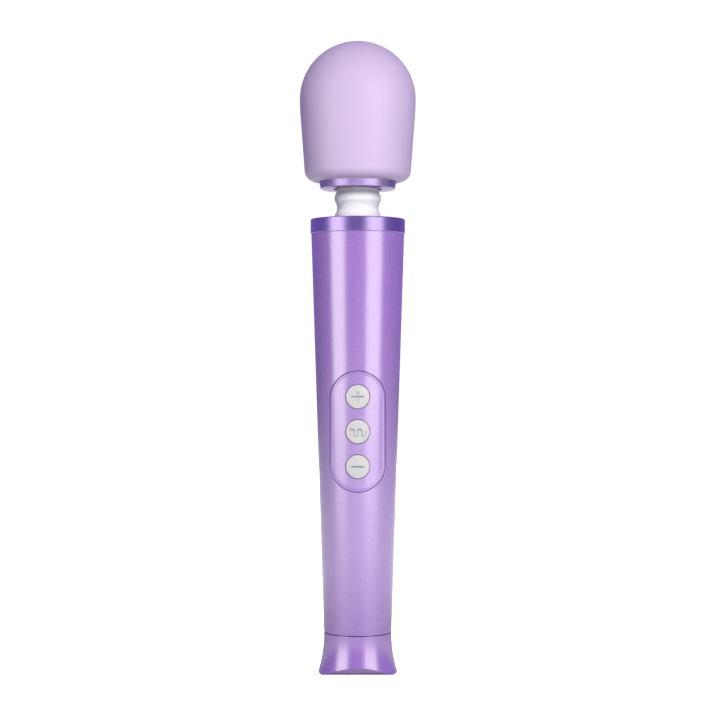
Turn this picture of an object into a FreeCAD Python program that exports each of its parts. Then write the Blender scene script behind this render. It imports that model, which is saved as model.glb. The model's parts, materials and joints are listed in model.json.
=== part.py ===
import FreeCAD, Part
import math
import os

import Sketcher
from FreeCAD import Placement, Rotation, Vector

# A cordless wand massager, 254 mm long, standing on its foot with +Z along the handle to the head.
# The origin is the middle of the foot and the buttons face -Y. Lengths are millimetres, angles degrees.

DIMENSIONS = (
    # base cap
    ("base_height", 16.5, "foot to the seam below the handle tube"),
    ("base_straight", 0.8, "straight band of the base below the seam"),
    ("waist_radius", 13.55, "outside of the base and of the tube at the seam"),
    ("foot_radius", 15.85, "outside of the flared foot"),
    ("foot_edge", 0.9, "rounding of the foot's edge"),
    ("foot_strip", 3.0, "half width of the flat strip under the foot"),
    ("foot_rocker_radius", 18.3, "curve of the foot up to its front and back"),
    ("base_floor", 3.4, "thickness of the base's floor"),
    ("spigot_length", 4.6, "how far the base reaches into the tube"),
    ("spigot_wall", 1.65, "wall of the base's spigot"),
    ("seam_gap", 0.3, "open line between the base and the tube"),
    ("slip_fit", 0.1, "radial room between pieces that slide together"),
    # handle tube
    ("tube_length", 159.8, "handle tube, seam to collar"),
    ("shoulder_room", 6.5, "outside of the tube under the collar, beyond the motor's side"),
    ("tube_wall", 1.6, "wall of the handle tube"),
    ("rim_wall", 0.8, "wall of the tube's rim inside the collar"),
    # collar
    ("collar_overhang", 0.3, "collar beyond the top of the tube"),
    ("collar_height", 5.9, "height of the collar"),
    ("collar_plate", 1.6, "thickness of the collar's top"),
    ("neck_hole_radius", 9.9, "hole for the neck in the collar and in the ring"),
    ("edge_break", 0.3, "small chamfer on metal edges"),
    # neck
    ("neck_gap", 11.9, "collar to the ring under the head"),
    ("bulge_radius", 9.35, "outside of the neck's two bulges"),
    ("groove_radius", 8.3, "neck between its bulges"),
    ("bulge_pitch", 7.7, "one bulge to the next"),
    ("bulge_height", 8.4, "upper bulge above the collar"),
    ("neck_bore", 7.0, "inside radius of the neck sleeve"),
    ("neck_flange", 12.0, "radius of the neck sleeve's clamped flanges"),
    ("flange_thickness", 1.8, "thickness of those flanges"),
    ("spring_radius", 5.5, "middle of the neck spring's wire from its axis"),
    ("spring_wire", 0.8, "radius of the spring's wire"),
    ("spring_pitch", 2.5, "rise of the spring in one turn"),
    ("spring_seat", 2.8, "depth of the spring's lower seat"),
    ("flex_radius", 1.5, "radius of the flexible drive shaft"),
    # ring and head
    ("ring_radius", 15.5, "outside of the ring under the head"),
    ("ring_height", 3.2, "height of the ring"),
    ("ring_wall", 1.2, "wall of the ring"),
    ("ring_plate", 1.4, "thickness of the ring's bottom"),
    ("head_radius", 23.3, "outside of the dome at its widest"),
    ("head_height", 56.4, "ring to the top of the dome"),
    ("head_side_radius", 90.0, "gentle curve below the widest line"),
    ("head_taper", 4.3, "slope of the head's side, degrees"),
    ("head_corner", 4.6, "rounding of the head's lower corner"),
    ("cover_wall", 3.1, "thickness of the silicone cover"),
    ("cover_fit", 0.05, "room between the cover and the core"),
    ("core_wall", 2.0, "wall of the head's rigid core"),
    ("core_foot_radius", 17.2, "core at the bottom of its bevel"),
    ("core_bevel", 2.4, "height of the core's lower bevel"),
    ("core_bevel_width", 1.3, "width of that bevel"),
    ("core_split", 4.7, "joint line of the core below the middle of the dome"),
    ("core_lip", 2.0, "overlap of the core's two halves"),
    ("core_floor", 2.5, "thickness of the core's floor"),
    ("hub_thickness", 3.2, "thickness of the neck's upper hub"),
    ("hub_seat", 1.9, "depth of the spring's upper seat"),
    ("hub_screw_circle", 10.5, "hub screws from the axis"),
    # eccentric drive in the head
    ("bearing_outside", 6.5, "outside radius of a ball bearing"),
    ("bearing_inside", 3.0, "bore radius of a ball bearing"),
    ("bearing_width", 5.0, "width of a ball bearing"),
    ("ball_radius", 0.95, "radius of a bearing ball"),
    ("ball_inset", 0.05, "ball centres inside the middle of the bearing's section"),
    ("race_gap", 0.6, "half the open width between a bearing's rings"),
    ("running_gap", 0.05, "room between a ball and its race"),
    ("bearing_spacing", 33.2, "one bearing to the next"),
    ("shaft_step", 3.6, "radius of the eccentric shaft between bearings"),
    ("shaft_tail", 5.1, "eccentric shaft below its lower bearing"),
    ("socket_depth", 6.0, "socket for the flexible shaft"),
    ("weight_radius", 14.0, "outside of the eccentric weight"),
    ("weight_height", 20.0, "height of the eccentric weight"),
    ("weight_lift", 3.7, "weight above the lower bearing"),
    # motor
    ("motor_radius", 12.2, "outside of the motor can"),
    ("motor_length", 30.8, "length of the motor without its pilot"),
    ("can_wall", 1.0, "wall of the motor can"),
    ("pilot_radius", 4.0, "pilot boss on the motor's face"),
    ("pilot_height", 1.5, "height of that boss"),
    ("motor_shaft_radius", 1.0, "radius of the motor shaft"),
    ("shaft_gap", 0.02, "running clearance of the motor shaft"),
    ("magnet_radius", 9.4, "inside of the magnets"),
    ("magnet_height", 18.0, "height of the magnets"),
    ("armature_radius", 9.0, "outside of the armature"),
    ("armature_height", 16.0, "height of the armature's core"),
    ("motor_screw_circle", 9.0, "motor screws from the axis"),
    ("sleeve_height", 18.0, "height of that sleeve"),
    ("mount_floor", 2.5, "floor of the motor mount"),
    ("mount_flange", 3.2, "thickness of the motor mount's flange"),
    ("coupling_radius", 4.0, "outside of the drive coupling"),
    ("coupling_length", 8.0, "length of the drive coupling"),
    ("coupling_room", 5.2, "radius of the room around the coupling"),
    # chassis, board and battery
    ("chassis_gap", 0.3, "chassis to the tube's inside"),
    ("chassis_wall", 1.5, "wall of the chassis"),
    ("chassis_foot", 22.0, "height of the chassis' lower end"),
    ("plunger_room", 0.3565, "free room between the lowest button's flange and its plunger"),
    ("board_thickness", 1.2, "thickness of the control board"),
    ("board_width", 13.6, "width of the control board"),
    ("chip_thickness", 1.0, "thickness of a chip"),
    ("board_foot", 72.6, "height of the board's lower edge"),
    ("board_length", 50.8, "length of the board"),
    ("shelf_thickness", 4.4, "thickness of the chassis' shelves"),
    ("cell_radius", 7.05, "radius of the battery cell"),
    ("cell_length", 47.4, "length of the battery cell"),
    ("cell_foot", 24.6, "height of the cell's lower end"),
    ("lead_radius", 0.55, "radius of an insulated wire"),
    ("lead_bend", 3.6, "bend of an insulated wire"),
    # control panel and buttons
    ("panel_half_width", 10.95, "half width of the control panel"),
    ("panel_half_length", 23.9, "half length of the control panel"),
    ("panel_rise", 0.35, "panel proud of the tube"),
    ("panel_gap", 0.12, "open line around the panel"),
    ("panel_flange", 1.2, "panel behind the tube's wall, sideways"),
    ("panel_flange_wall", 0.95, "thickness of that edge"),
    ("panel_middle", 97.7, "height of the panel's middle"),
    ("button_radius", 4.7, "radius of a button"),
    ("button_pitch", 13.8, "one button to the next"),
    ("button_gap", 0.15, "room around a button"),
    ("button_rise", 0.6, "button proud of the panel"),
    ("button_flange", 0.9, "hidden flange beyond the button's side"),
    ("button_flange_wall", 0.7, "thickness of that flange"),
    ("button_seat_gap", 0.1, "flange behind the panel"),
    ("switch_width", 5.0, "width of a tactile switch"),
    ("switch_height", 1.6, "height of a tactile switch"),
    ("plunger_radius", 1.2, "radius of a switch's plunger"),
    ("plunger_rise", 0.7, "plunger proud of its switch"),
    # charging socket
    ("socket_radius", 1.3, "bore of the charging socket"),
    ("socket_wall", 0.5, "wall of the socket's contact sleeve"),
    ("socket_nose", 2.6, "outside of the socket's nose"),
    ("socket_inset", 0.3, "nose above the foot"),
    ("socket_body", 4.5, "outside of the socket's body"),
    ("socket_body_height", 10.0, "height of the socket's body"),
    ("socket_plug", 1.4, "thickness of the socket's end contact"),
    # the rest, piece by piece
    ("seal_radius", 0.5, "section radius of the seal ring"),
    ("seal_depth", 0.92, "depth of the seal's groove"),
    ("seal_room", 0.6, "half the width of the seal's groove"),
    ("plunger_root", 0.3, "part of a plunger inside its switch at rest"),
    ("plunger_well", 0.9, "depth of the switch's well"),
    ("motor_screw_radius", 1.2, "shank radius of the motor's screws"),
    ("motor_screw_head_height", 1.5, "height of their heads"),
    ("motor_screw_head", 2.0, "radius of their heads"),
    ("motor_screw_reach", 2.0, "their reach into the motor"),
    ("end_cap_height", 2.4, "height of the motor's end cap"),
    ("end_cap_plug", 2.0, "end cap inside the can"),
    ("bush_wall", 1.5, "wall of a motor bush"),
    ("bush_height", 2.4, "height of a motor bush"),
    ("commutator_radius", 2.6, "outside of the commutator"),
    ("brush_length", 4.0, "length of a motor brush"),
    ("brush_width", 1.4, "width of a motor brush"),
    ("brush_height", 2.6, "height of a motor brush"),
    ("armature_lift", 16.3, "middle of the armature above the motor's lower end"),
    ("coupling_lift", 1.0, "coupling above the motor's pilot"),
    ("coupling_end_room", 1.0, "room above the coupling"),
    ("sleeve_lift", 2.0, "motor sleeve above the can's lower end"),
    ("pole_neck", 3.0, "width of an armature pole"),
    ("coil_width", 7.0, "width of an armature coil"),
    ("coil_gap", 0.4, "armature coil from the core's hub"),
    ("coil_rise", 1.6, "coil beyond each end of the core"),
    ("pole_tip", 1.4, "thickness of a pole's curved shoe"),
    ("armature_hub", 3.4, "armature core around the shaft"),
    ("low_screw_drop", 4.2, "lower chassis screws below the board"),
    ("high_screw_lift", 5.1, "upper chassis screws above the board"),
    ("low_boss", 2.2, "lower chassis screws beside the battery cell"),
    ("high_boss", 3.4, "upper chassis screws beyond the battery cell's side"),
    ("boss_radius", 1.9, "radius of the chassis' screw bosses"),
    ("chassis_screw_radius", 0.9, "shank radius of the chassis' screws"),
    ("chassis_screw_head", 1.3, "radius of their heads"),
    ("chassis_screw_head_height", 1.2, "height of their heads"),
    ("chassis_screw_seat", 4.0, "their heads from the chassis' joint"),
    ("chassis_screw_length", 9.0, "length of their shanks"),
    ("board_screw_length", 5.0, "length of the board's screws"),
    ("board_screw_head_height", 1.0, "height of their heads"),
    ("board_screw_radius", 0.8, "shank radius of the board's screws"),
    ("board_screw_head", 1.5, "radius of their heads"),
    ("board_screw_x", 4.9, "board screws from the middle"),
    ("shelf_overlap", 0.6, "shelf sunk into the chassis' wall"),
    ("wire_hole", 1.1, "radius of a hole for a wire"),
    ("pad_height", 6.0, "height of a battery pad"),
    ("pad_lift", 4.0, "lower battery pad above the cell's lower end"),
    ("pad_pitch", 29.0, "one battery pad to the next"),
    ("ring_edge", 0.8, "rounding of the head ring's lower edge"),
    ("seat_wall", 2.3, "wall around a bearing's seat"),
    ("shaft_end_room", 2.0, "room above the upper bearing"),
    ("hub_pillar", 2.2, "radius of the pillars for the hub's screws"),
    ("hub_screw_radius", 0.95, "shank radius of the hub's screws"),
    ("hub_screw_head_height", 1.3, "height of their heads"),
    ("hub_screw_head", 1.8, "radius of their heads"),
    ("hub_screw_depth", 9.0, "depth of their holes"),
    ("hub_screw_end_room", 0.5, "room past their ends"),
    ("skirt_wall", 0.95, "wall of the core's skirt inside the ring"),
    ("cage_height", 2.6, "height of a bearing's cage"),
    ("cage_wall", 0.6, "wall of a bearing's cage"),
    ("weight_cheek", 6.6, "weight around the shaft"),
    ("weight_screw_radius", 1.5, "radius of the weight's screw"),
)


class Size:
    """A length or an angle that keeps both its value and the formula that gives it from the sheet."""

    def __init__(self, value, formula):
        self.value = float(value)
        self.formula = formula

    @staticmethod
    def of(thing):
        return thing if isinstance(thing, Size) else Size(thing, repr(float(thing)))

    def _with(self, other, sign, value):
        other = Size.of(other)
        return Size(value(self.value, other.value), f"({self.formula} {sign} {other.formula})")

    def __add__(self, other):
        return self._with(other, "+", lambda a, b: a + b)

    def __sub__(self, other):
        return self._with(other, "-", lambda a, b: a - b)

    def __mul__(self, other):
        return self._with(other, "*", lambda a, b: a * b)

    def __truediv__(self, other):
        return self._with(other, "/", lambda a, b: a / b)

    def __neg__(self):
        return Size(-self.value, f"(0 - {self.formula})")

    __radd__ = __add__

    def __rsub__(self, other):
        return Size.of(other) - self

    __rmul__ = __mul__


def root(size):
    """The square root of a size."""
    return Size(math.sqrt(size.value), f"sqrt({size.formula})")


def sine(angle):
    """The sine of an angle in degrees."""
    return Size(math.sin(math.radians(angle.value)), f"sin({angle.formula} * 1 deg)")


def cosine(angle):
    """The cosine of an angle in degrees."""
    return Size(math.cos(math.radians(angle.value)), f"cos({angle.formula} * 1 deg)")


class Sheet:
    """The spreadsheet of driving dimensions. Each is read as an attribute, such as sheet.tube_wall."""

    def __init__(self, document, rows):
        self._sheet = document.addObject("Spreadsheet::Sheet", "Sizes")
        for number, (alias, value, note) in enumerate(rows, start=1):
            self._sheet.set(f"A{number}", alias)
            self._sheet.set(f"B{number}", repr(float(value)))
            self._sheet.set(f"C{number}", note)
            self._sheet.setAlias(f"B{number}", alias)
        document.recompute()

    def __getattr__(self, alias):
        return Size(getattr(self._sheet, alias), f"Sizes.{alias}")


doc = FreeCAD.newDocument("WandMassager")
s = Sheet(doc, DIMENSIONS)
parts = {}
ZERO = Size.of(0)
FULL_TURN = 360
HALF_TURN = 180


# The tube's top is measured from the motor that it holds, and a bearing's section from its middle.
shoulder_radius = s.motor_radius + s.shoulder_room
collar_radius = shoulder_radius + s.collar_overhang
bearing_middle = (s.bearing_outside + s.bearing_inside) / 2
ball_circle = bearing_middle - s.ball_inset
race_outer = bearing_middle + s.race_gap
race_inner = bearing_middle - s.race_gap

# Levels along the handle, from the foot up.
tube_foot = s.base_height + s.seam_gap
tube_top = tube_foot + s.tube_length
collar_top = tube_top + s.collar_height
plate_underside = collar_top - s.collar_plate
ring_foot = collar_top + s.neck_gap
ring_top = ring_foot + s.ring_height
head_top = ring_top + s.head_height
head_middle = head_top - s.head_radius
mount_top = plate_underside - s.flange_thickness
spring_foot = mount_top - s.spring_seat
hub_foot = ring_foot + s.ring_plate + s.flange_thickness
hub_top = hub_foot + s.hub_thickness
core_floor_top = hub_top + s.core_floor
upper_bearing_foot = core_floor_top + s.bearing_spacing
flange_foot = mount_top - s.mount_flange
motor_face = flange_foot - s.pilot_height - s.coupling_lift - s.coupling_length - s.coupling_end_room
motor_foot = motor_face - s.motor_length


def tube_radius(height):
    """Outside radius of the tapered handle tube at a height."""
    slope = (shoulder_radius - s.waist_radius) / s.tube_length
    return s.waist_radius + slope * (height - tube_foot)


def flange_face(level):
    """Front of a button's hidden flange, from the axis, behind the panel's edge at a height."""
    panel_back = tube_radius(level) - s.tube_wall - s.cover_fit - s.panel_flange_wall
    flange_radius = s.button_radius + s.button_flange
    return root(panel_back * panel_back - flange_radius * flange_radius) - s.button_seat_gap


plunger_front = flange_face(s.panel_middle - s.button_pitch) - s.button_flange_wall - s.plunger_room
switch_front = plunger_front - s.plunger_rise
board_face = switch_front - s.switch_height


def bind(thing, prop, size):
    """Sets a property and binds it to the sheet."""
    size = Size.of(size)
    if "." not in prop and "[" not in prop:
        setattr(thing, prop, size.value)
    thing.setExpression(prop, size.formula)


def move(thing, x=ZERO, y=ZERO, z=ZERO, turn=None):
    """Places an object, with its position bound to the sheet."""
    place = [Size.of(v) for v in (x, y, z)]
    thing.Placement = Placement(Vector(*(v.value for v in place)), turn or Rotation())
    for axis, size in zip("xyz", place):
        thing.setExpression(f"Placement.Base.{axis}", size.formula)
    return thing


def to(x, y):
    """A straight side of an outline, to a point."""
    return Size.of(x), Size.of(y), None, 0


def round_to(x, y, radius, turn):
    """A round side of an outline, to a point. turn is 1 for anticlockwise and -1 for clockwise."""
    return Size.of(x), Size.of(y), Size.of(radius), turn


def arc_middle(start, end, radius, turn):
    """The point halfway along a round side of less than half a turn."""
    chord = end - start
    half = chord.Length / 2
    rise = radius - math.sqrt(max(radius**2 - half**2, 0))
    side = Vector(chord.y, -chord.x, 0).normalize() * turn
    return (start + end) / 2 + side * rise


def draw(sketch, outline):
    """Draws a closed outline whose first point comes last too, and ties every point to the sheet."""
    ends = [Vector(x.value, y.value, 0) for x, y, _, _ in outline]
    numbers = []
    for index, (_, _, radius, turn) in enumerate(outline):
        start, end = ends[index - 1], ends[index]
        if radius is None:
            numbers.append(sketch.addGeometry(Part.LineSegment(start, end)))
        else:
            middle = arc_middle(start, end, radius.value, turn)
            numbers.append(sketch.addGeometry(Part.Arc(start, middle, end)))
    for index, (x, y, radius, turn) in enumerate(outline):
        number = numbers[index]
        following = (index + 1) % len(outline)
        last = 1 if turn < 0 else 2
        first = 2 if outline[following][3] < 0 else 1
        sketch.addConstraint(Sketcher.Constraint("Coincident", number, last, numbers[following], first))
        for kind, size in (("DistanceX", x), ("DistanceY", y)):
            tie = sketch.addConstraint(Sketcher.Constraint(kind, -1, 1, number, last, size.value))
            sketch.setExpression(f"Constraints[{tie}]", size.formula)
        if radius is not None:
            tie = sketch.addConstraint(Sketcher.Constraint("Radius", number, radius.value))
            sketch.setExpression(f"Constraints[{tie}]", radius.formula)


def circle(sketch, x, y, radius):
    """Adds a circle whose centre and radius are tied to the sheet."""
    x, y, radius = Size.of(x), Size.of(y), Size.of(radius)
    centre = Vector(x.value, y.value, 0)
    number = sketch.addGeometry(Part.Circle(centre, Vector(0, 0, 1), radius.value))
    for kind, size in (("DistanceX", x), ("DistanceY", y)):
        tie = sketch.addConstraint(Sketcher.Constraint(kind, -1, 1, number, 3, size.value))
        sketch.setExpression(f"Constraints[{tie}]", size.formula)
    tie = sketch.addConstraint(Sketcher.Constraint("Radius", number, radius.value))
    sketch.setExpression(f"Constraints[{tie}]", radius.formula)


def new_sketch(body, plane, level=ZERO):
    """A sketch on one of a body's own planes, raised along the plane's normal."""
    sketch = body.newObject("Sketcher::SketchObject", f"{body.Name}Sketch")
    origin = next(f for f in body.Origin.OriginFeatures if f.Role == plane)
    sketch.AttachmentSupport = [(origin, "")]
    sketch.MapMode = "FlatFace"
    bind(sketch, "AttachmentOffset.Base.z", level)
    return sketch


def new_body(name):
    """An empty PartDesign body."""
    body = doc.addObject("PartDesign::Body", name)
    body.Label = name
    return body


def turn_outline(body, outline, angle=FULL_TURN, backwards=False):
    """Revolves an outline, given as radius and height, about the body's Z axis."""
    sketch = new_sketch(body, "XZ_Plane")
    draw(sketch, outline)
    feature = body.newObject("PartDesign::Revolution", f"{body.Name}Turn")
    feature.Profile = sketch
    feature.ReferenceAxis = (sketch, ["V_Axis"])
    feature.Angle = angle
    feature.Reversed = backwards
    return feature


def pad(body, sketch, length, both_ways=False):
    """Raises a sketch into a solid."""
    feature = body.newObject("PartDesign::Pad", f"{body.Name}Pad")
    feature.Profile = sketch
    bind(feature, "Length", length)
    feature.Midplane = both_ways
    return feature


def pocket(body, sketch, backwards=False, both_ways=False, depth=None):
    """Cuts a sketch out of a body, right through unless a depth is given, and checks that it cut."""
    doc.recompute()
    before = body.Shape.Volume
    feature = body.newObject("PartDesign::Pocket", f"{body.Name}Pocket")
    feature.Profile = sketch
    if depth is None:
        feature.Type = "ThroughAll"
    else:
        bind(feature, "Length", depth)
    feature.Midplane = both_ways
    feature.Reversed = backwards
    doc.recompute()
    if body.Shape.Volume > before - 1e-6:
        raise RuntimeError(f"a pocket of {body.Label} cuts nothing")
    return feature


def keep(thing, name):
    """Gives a finished object its label and its place in the list of pieces."""
    thing.Label = name
    parts[name] = thing
    return thing


def turned(name, *outline, angle=FULL_TURN, backwards=False):
    """A piece that is one turned outline."""
    body = new_body(name)
    turn_outline(body, outline, angle, backwards)
    return keep(body, name)


def ring(name, inside, outside, foot, top):
    """A plain tube or washer, or a rod where the inside is 0."""
    return turned(name, to(inside, foot), to(outside, foot), to(outside, top), to(inside, top))


def cylinder(name, radius, length, x=ZERO, y=ZERO, z=ZERO, turn=None):
    """A plain cylinder that grows along its own Z."""
    thing = doc.addObject("Part::Cylinder", name)
    bind(thing, "Radius", radius)
    bind(thing, "Height", length)
    return move(thing, x, y, z, turn)


def block(name, width, depth, height, x, y, z):
    """A box centred on x and y that stands on z."""
    thing = doc.addObject("Part::Box", name)
    width, depth = Size.of(width), Size.of(depth)
    bind(thing, "Length", width)
    bind(thing, "Width", depth)
    bind(thing, "Height", height)
    return move(thing, x - width / 2, y - depth / 2, z)


def ball(name, radius, x, y, z):
    """A sphere."""
    thing = doc.addObject("Part::Sphere", name)
    bind(thing, "Radius", radius)
    return move(thing, x, y, z)


def cut(name, base, tool):
    """One shape less another."""
    thing = doc.addObject("Part::Cut", name)
    thing.Base = base
    thing.Tool = tool
    return thing


def shared(name, *shapes):
    """What two shapes share."""
    thing = doc.addObject("Part::Common", name)
    thing.Base, thing.Tool = shapes
    return thing


def fused(name, *shapes):
    """Several shapes joined into one."""
    thing = doc.addObject("Part::MultiFuse", name)
    thing.Shapes = list(shapes)
    return thing


def group(name, *shapes):
    """Several separate solids in one node."""
    thing = doc.addObject("Part::Compound", name)
    thing.Links = list(shapes)
    return thing


def screw(name, radius, length, head_radius, head_height, x, y, z, turn=None):
    """A pan head screw. Its head stands on z and its shank goes down its own Z from there."""
    body = new_body(name)
    outline = (
        to(ZERO, -length),
        to(radius, -length),
        to(radius, ZERO),
        to(head_radius, ZERO),
        to(head_radius, head_height / 2),
        round_to(head_radius / 2, head_height, head_radius, 1),
        to(ZERO, head_height),
    )
    turn_outline(body, outline)
    return move(body, x, y, z, turn)


FRONT = Rotation(Vector(1, 0, 0), 90)  # turns +Z to -Y
BACK = Rotation(Vector(1, 0, 0), -90)  # turns +Z to +Y


# ---------------------------------------------------------------- base cap and charging socket


def make_base_cap():
    """The flared foot: round, hollow, with a spigot for the tube and a foot curved to front and back."""
    body = new_body("base_cap")
    flare_top = s.base_height - s.base_straight
    rise = flare_top - s.foot_edge
    spread = s.foot_radius - s.waist_radius
    flare = (rise * rise + spread * spread) / (spread * 2)
    spigot = s.waist_radius - s.tube_wall - s.slip_fit
    spigot_top = s.base_height + s.spigot_length
    bore = spigot - s.spigot_wall
    groove = spigot - s.seal_depth
    turn_outline(
        body,
        (
            to(s.socket_nose + s.running_gap, ZERO),
            to(s.foot_radius - s.foot_edge, ZERO),
            round_to(s.foot_radius, s.foot_edge, s.foot_edge, 1),
            round_to(s.waist_radius, flare_top, flare, -1),
            to(s.waist_radius, s.base_height),
            to(spigot, s.base_height),
            to(spigot, seal_level - s.seal_room),
            to(groove, seal_level - s.seal_room),
            to(groove, seal_level + s.seal_room),
            to(spigot, seal_level + s.seal_room),
            to(spigot, spigot_top),
            to(bore, spigot_top),
            to(bore, s.base_floor),
            to(s.socket_nose + s.running_gap, s.base_floor),
        ),
    )
    rockers = new_sketch(body, "YZ_Plane")
    reach = s.foot_radius + 1.0
    run = reach - s.foot_strip
    lift = s.foot_rocker_radius - root(s.foot_rocker_radius * s.foot_rocker_radius - run * run)
    draw(
        rockers,
        (
            to(-reach, -s.foot_edge),
            to(reach, -s.foot_edge),
            to(reach, lift),
            round_to(s.foot_strip, ZERO, s.foot_rocker_radius, -1),
            to(-s.foot_strip, ZERO),
            round_to(-reach, lift, s.foot_rocker_radius, -1),
        ),
    )
    pocket(body, rockers, both_ways=True)
    return keep(body, "base_cap")


seal_level = s.base_height + s.spigot_length / 2


def make_base_seal():
    """The O-ring between the base's spigot and the tube."""
    thing = doc.addObject("Part::Torus", "base_seal")
    inside_wall = tube_radius(seal_level) - s.tube_wall
    bind(thing, "Radius1", inside_wall - s.seal_radius - s.cover_fit)
    bind(thing, "Radius2", s.seal_radius)
    return keep(move(thing, z=seal_level), "base_seal")


def make_charge_socket():
    """The round charging socket in the foot: a body with a nose, a contact sleeve and an end contact."""
    sleeve_outside = s.socket_radius + s.socket_wall
    body_top = s.base_floor + s.socket_body_height
    plug_foot = body_top - s.socket_plug
    plug_radius = sleeve_outside + s.socket_wall
    turned(
        "charge_socket",
        to(sleeve_outside, s.socket_inset),
        to(s.socket_nose, s.socket_inset),
        to(s.socket_nose, s.base_floor),
        to(s.socket_body, s.base_floor),
        to(s.socket_body, body_top),
        to(plug_radius, body_top),
        to(plug_radius, plug_foot),
        to(sleeve_outside, plug_foot),
    )
    ring("charge_sleeve", s.socket_radius, sleeve_outside, s.socket_inset, plug_foot)
    ring("charge_contact", ZERO, plug_radius, plug_foot, body_top)


# ---------------------------------------------------------------- handle tube, panel and collar


def stadium(name, half_width, half_length):
    """A round-ended prism through the front of the handle, from the axis outwards."""
    body = new_body(name)
    sketch = new_sketch(body, "XZ_Plane")
    lift = half_length - half_width
    top, foot = s.panel_middle + lift, s.panel_middle - lift
    draw(
        sketch,
        (
            to(-half_width, foot),
            round_to(ZERO, s.panel_middle - half_length, half_width, 1),
            round_to(half_width, foot, half_width, 1),
            to(half_width, top),
            round_to(ZERO, s.panel_middle + half_length, half_width, 1),
            round_to(-half_width, top, half_width, 1),
        ),
    )
    pad(body, sketch, collar_radius * 2)
    return body


def taper(name, inset):
    """A solid cone frustum that follows the handle tube, so far inside its surface."""
    body = new_body(name)
    foot, top = tube_foot, tube_top
    outline = (
        to(ZERO, foot),
        to(s.waist_radius - inset, foot),
        to(shoulder_radius - inset, top),
        to(ZERO, top),
    )
    turn_outline(body, outline)
    return body


def make_handle_tube():
    """The tapered tube of the handle, with the opening for the control panel and a rim for the collar."""
    body = new_body("handle_tube_blank")
    inside_foot = s.waist_radius - s.tube_wall
    inside_top = shoulder_radius - s.tube_wall
    rim = inside_top + s.rim_wall
    rim_top = plate_underside - s.slip_fit
    turn_outline(
        body,
        (
            to(inside_foot, tube_foot),
            to(s.waist_radius, tube_foot),
            to(shoulder_radius, tube_top),
            to(rim, tube_top),
            to(rim, rim_top),
            to(inside_top, rim_top),
            to(inside_top, tube_top),
        ),
    )
    opening = stadium("PanelOpening", s.panel_half_width + s.panel_gap, s.panel_half_length + s.panel_gap)
    return keep(cut("handle_tube", body, opening), "handle_tube")


def button_levels():
    """The name and height of each button, from the top down."""
    names = ("plus", "pattern", "minus")
    return [(name, s.panel_middle + s.button_pitch * (1 - row)) for row, name in enumerate(names)]


def make_control_panel():
    """The raised panel around the buttons, with an edge that holds it behind the tube's wall."""
    behind = s.tube_wall + s.cover_fit
    face = cut("PanelFaceRing", taper("PanelFaceOut", -s.panel_rise), taper("PanelFaceIn", behind))
    deep = behind + s.panel_flange_wall
    edge = cut("PanelEdgeRing", taper("PanelEdgeOut", behind), taper("PanelEdgeIn", deep))
    shape = stadium("PanelShape", s.panel_half_width, s.panel_half_length)
    wide = stadium("PanelWide", s.panel_half_width + s.panel_flange, s.panel_half_length + s.panel_flange)
    whole = fused("PanelWhole", shared("PanelFace", face, shape), shared("PanelEdge", edge, wide))
    holes = [
        cylinder(f"{name}_hole", s.button_radius + s.button_gap, collar_radius, z=level, turn=FRONT)
        for name, level in button_levels()
    ]
    return keep(cut("control_panel", whole, fused("PanelHoles", *holes)), "control_panel")


def make_button(name, level, face):
    """One button: a cap that follows the handle's curve, a hidden flange and a stem to its switch."""
    flange_front = flange_face(level)
    flange_back = flange_front - s.button_flange_wall
    stalk = cylinder(f"{name}_stalk", s.button_radius, collar_radius, y=-flange_back, z=level, turn=FRONT)
    cap = shared(f"{name}_cap", stalk, face)
    wall = s.button_flange_wall
    rim = s.button_radius + s.button_flange
    flange = cylinder(f"{name}_flange", rim, wall, y=-flange_back, z=level, turn=FRONT)
    reach = flange_front - plunger_front
    stem = cylinder(f"{name}_stem", s.plunger_radius, reach, y=-plunger_front, z=level, turn=FRONT)
    keep(fused(f"{name}_button", cap, flange, stem), f"{name}_button")


def make_switches():
    """Three tactile switches on the board and the plunger of each."""
    switches = []
    for name, level in button_levels():
        y = -(board_face + s.switch_height / 2)
        foot = level - s.switch_width / 2
        case = block(f"{name}_case", s.switch_width, s.switch_height, s.switch_width, ZERO, y, foot)
        well = cylinder(
            f"{name}_well",
            s.plunger_radius + s.running_gap,
            s.switch_height,
            y=-(switch_front - s.plunger_well),
            z=level,
            turn=FRONT,
        )
        switches.append(cut(f"{name}_switch", case, well))
        plunger = cylinder(
            f"{name}_plunger",
            s.plunger_radius,
            s.plunger_rise + s.plunger_root,
            y=-(switch_front - s.plunger_root),
            z=level,
            turn=FRONT,
        )
        keep(plunger, f"{name}_plunger")
    keep(group("tact_switches", *switches), "tact_switches")


def make_collar():
    """The metal collar: a band over the tube's rim and a top with the neck's hole."""
    band_inside = shoulder_radius - s.tube_wall + s.rim_wall + s.cover_fit
    turned(
        "collar",
        to(band_inside, tube_top),
        to(collar_radius - s.edge_break, tube_top),
        to(collar_radius, tube_top + s.edge_break),
        to(collar_radius, collar_top - s.edge_break),
        to(collar_radius - s.edge_break, collar_top),
        to(s.neck_hole_radius, collar_top),
        to(s.neck_hole_radius, plate_underside),
        to(band_inside, plate_underside),
    )


# ---------------------------------------------------------------- neck


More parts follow.
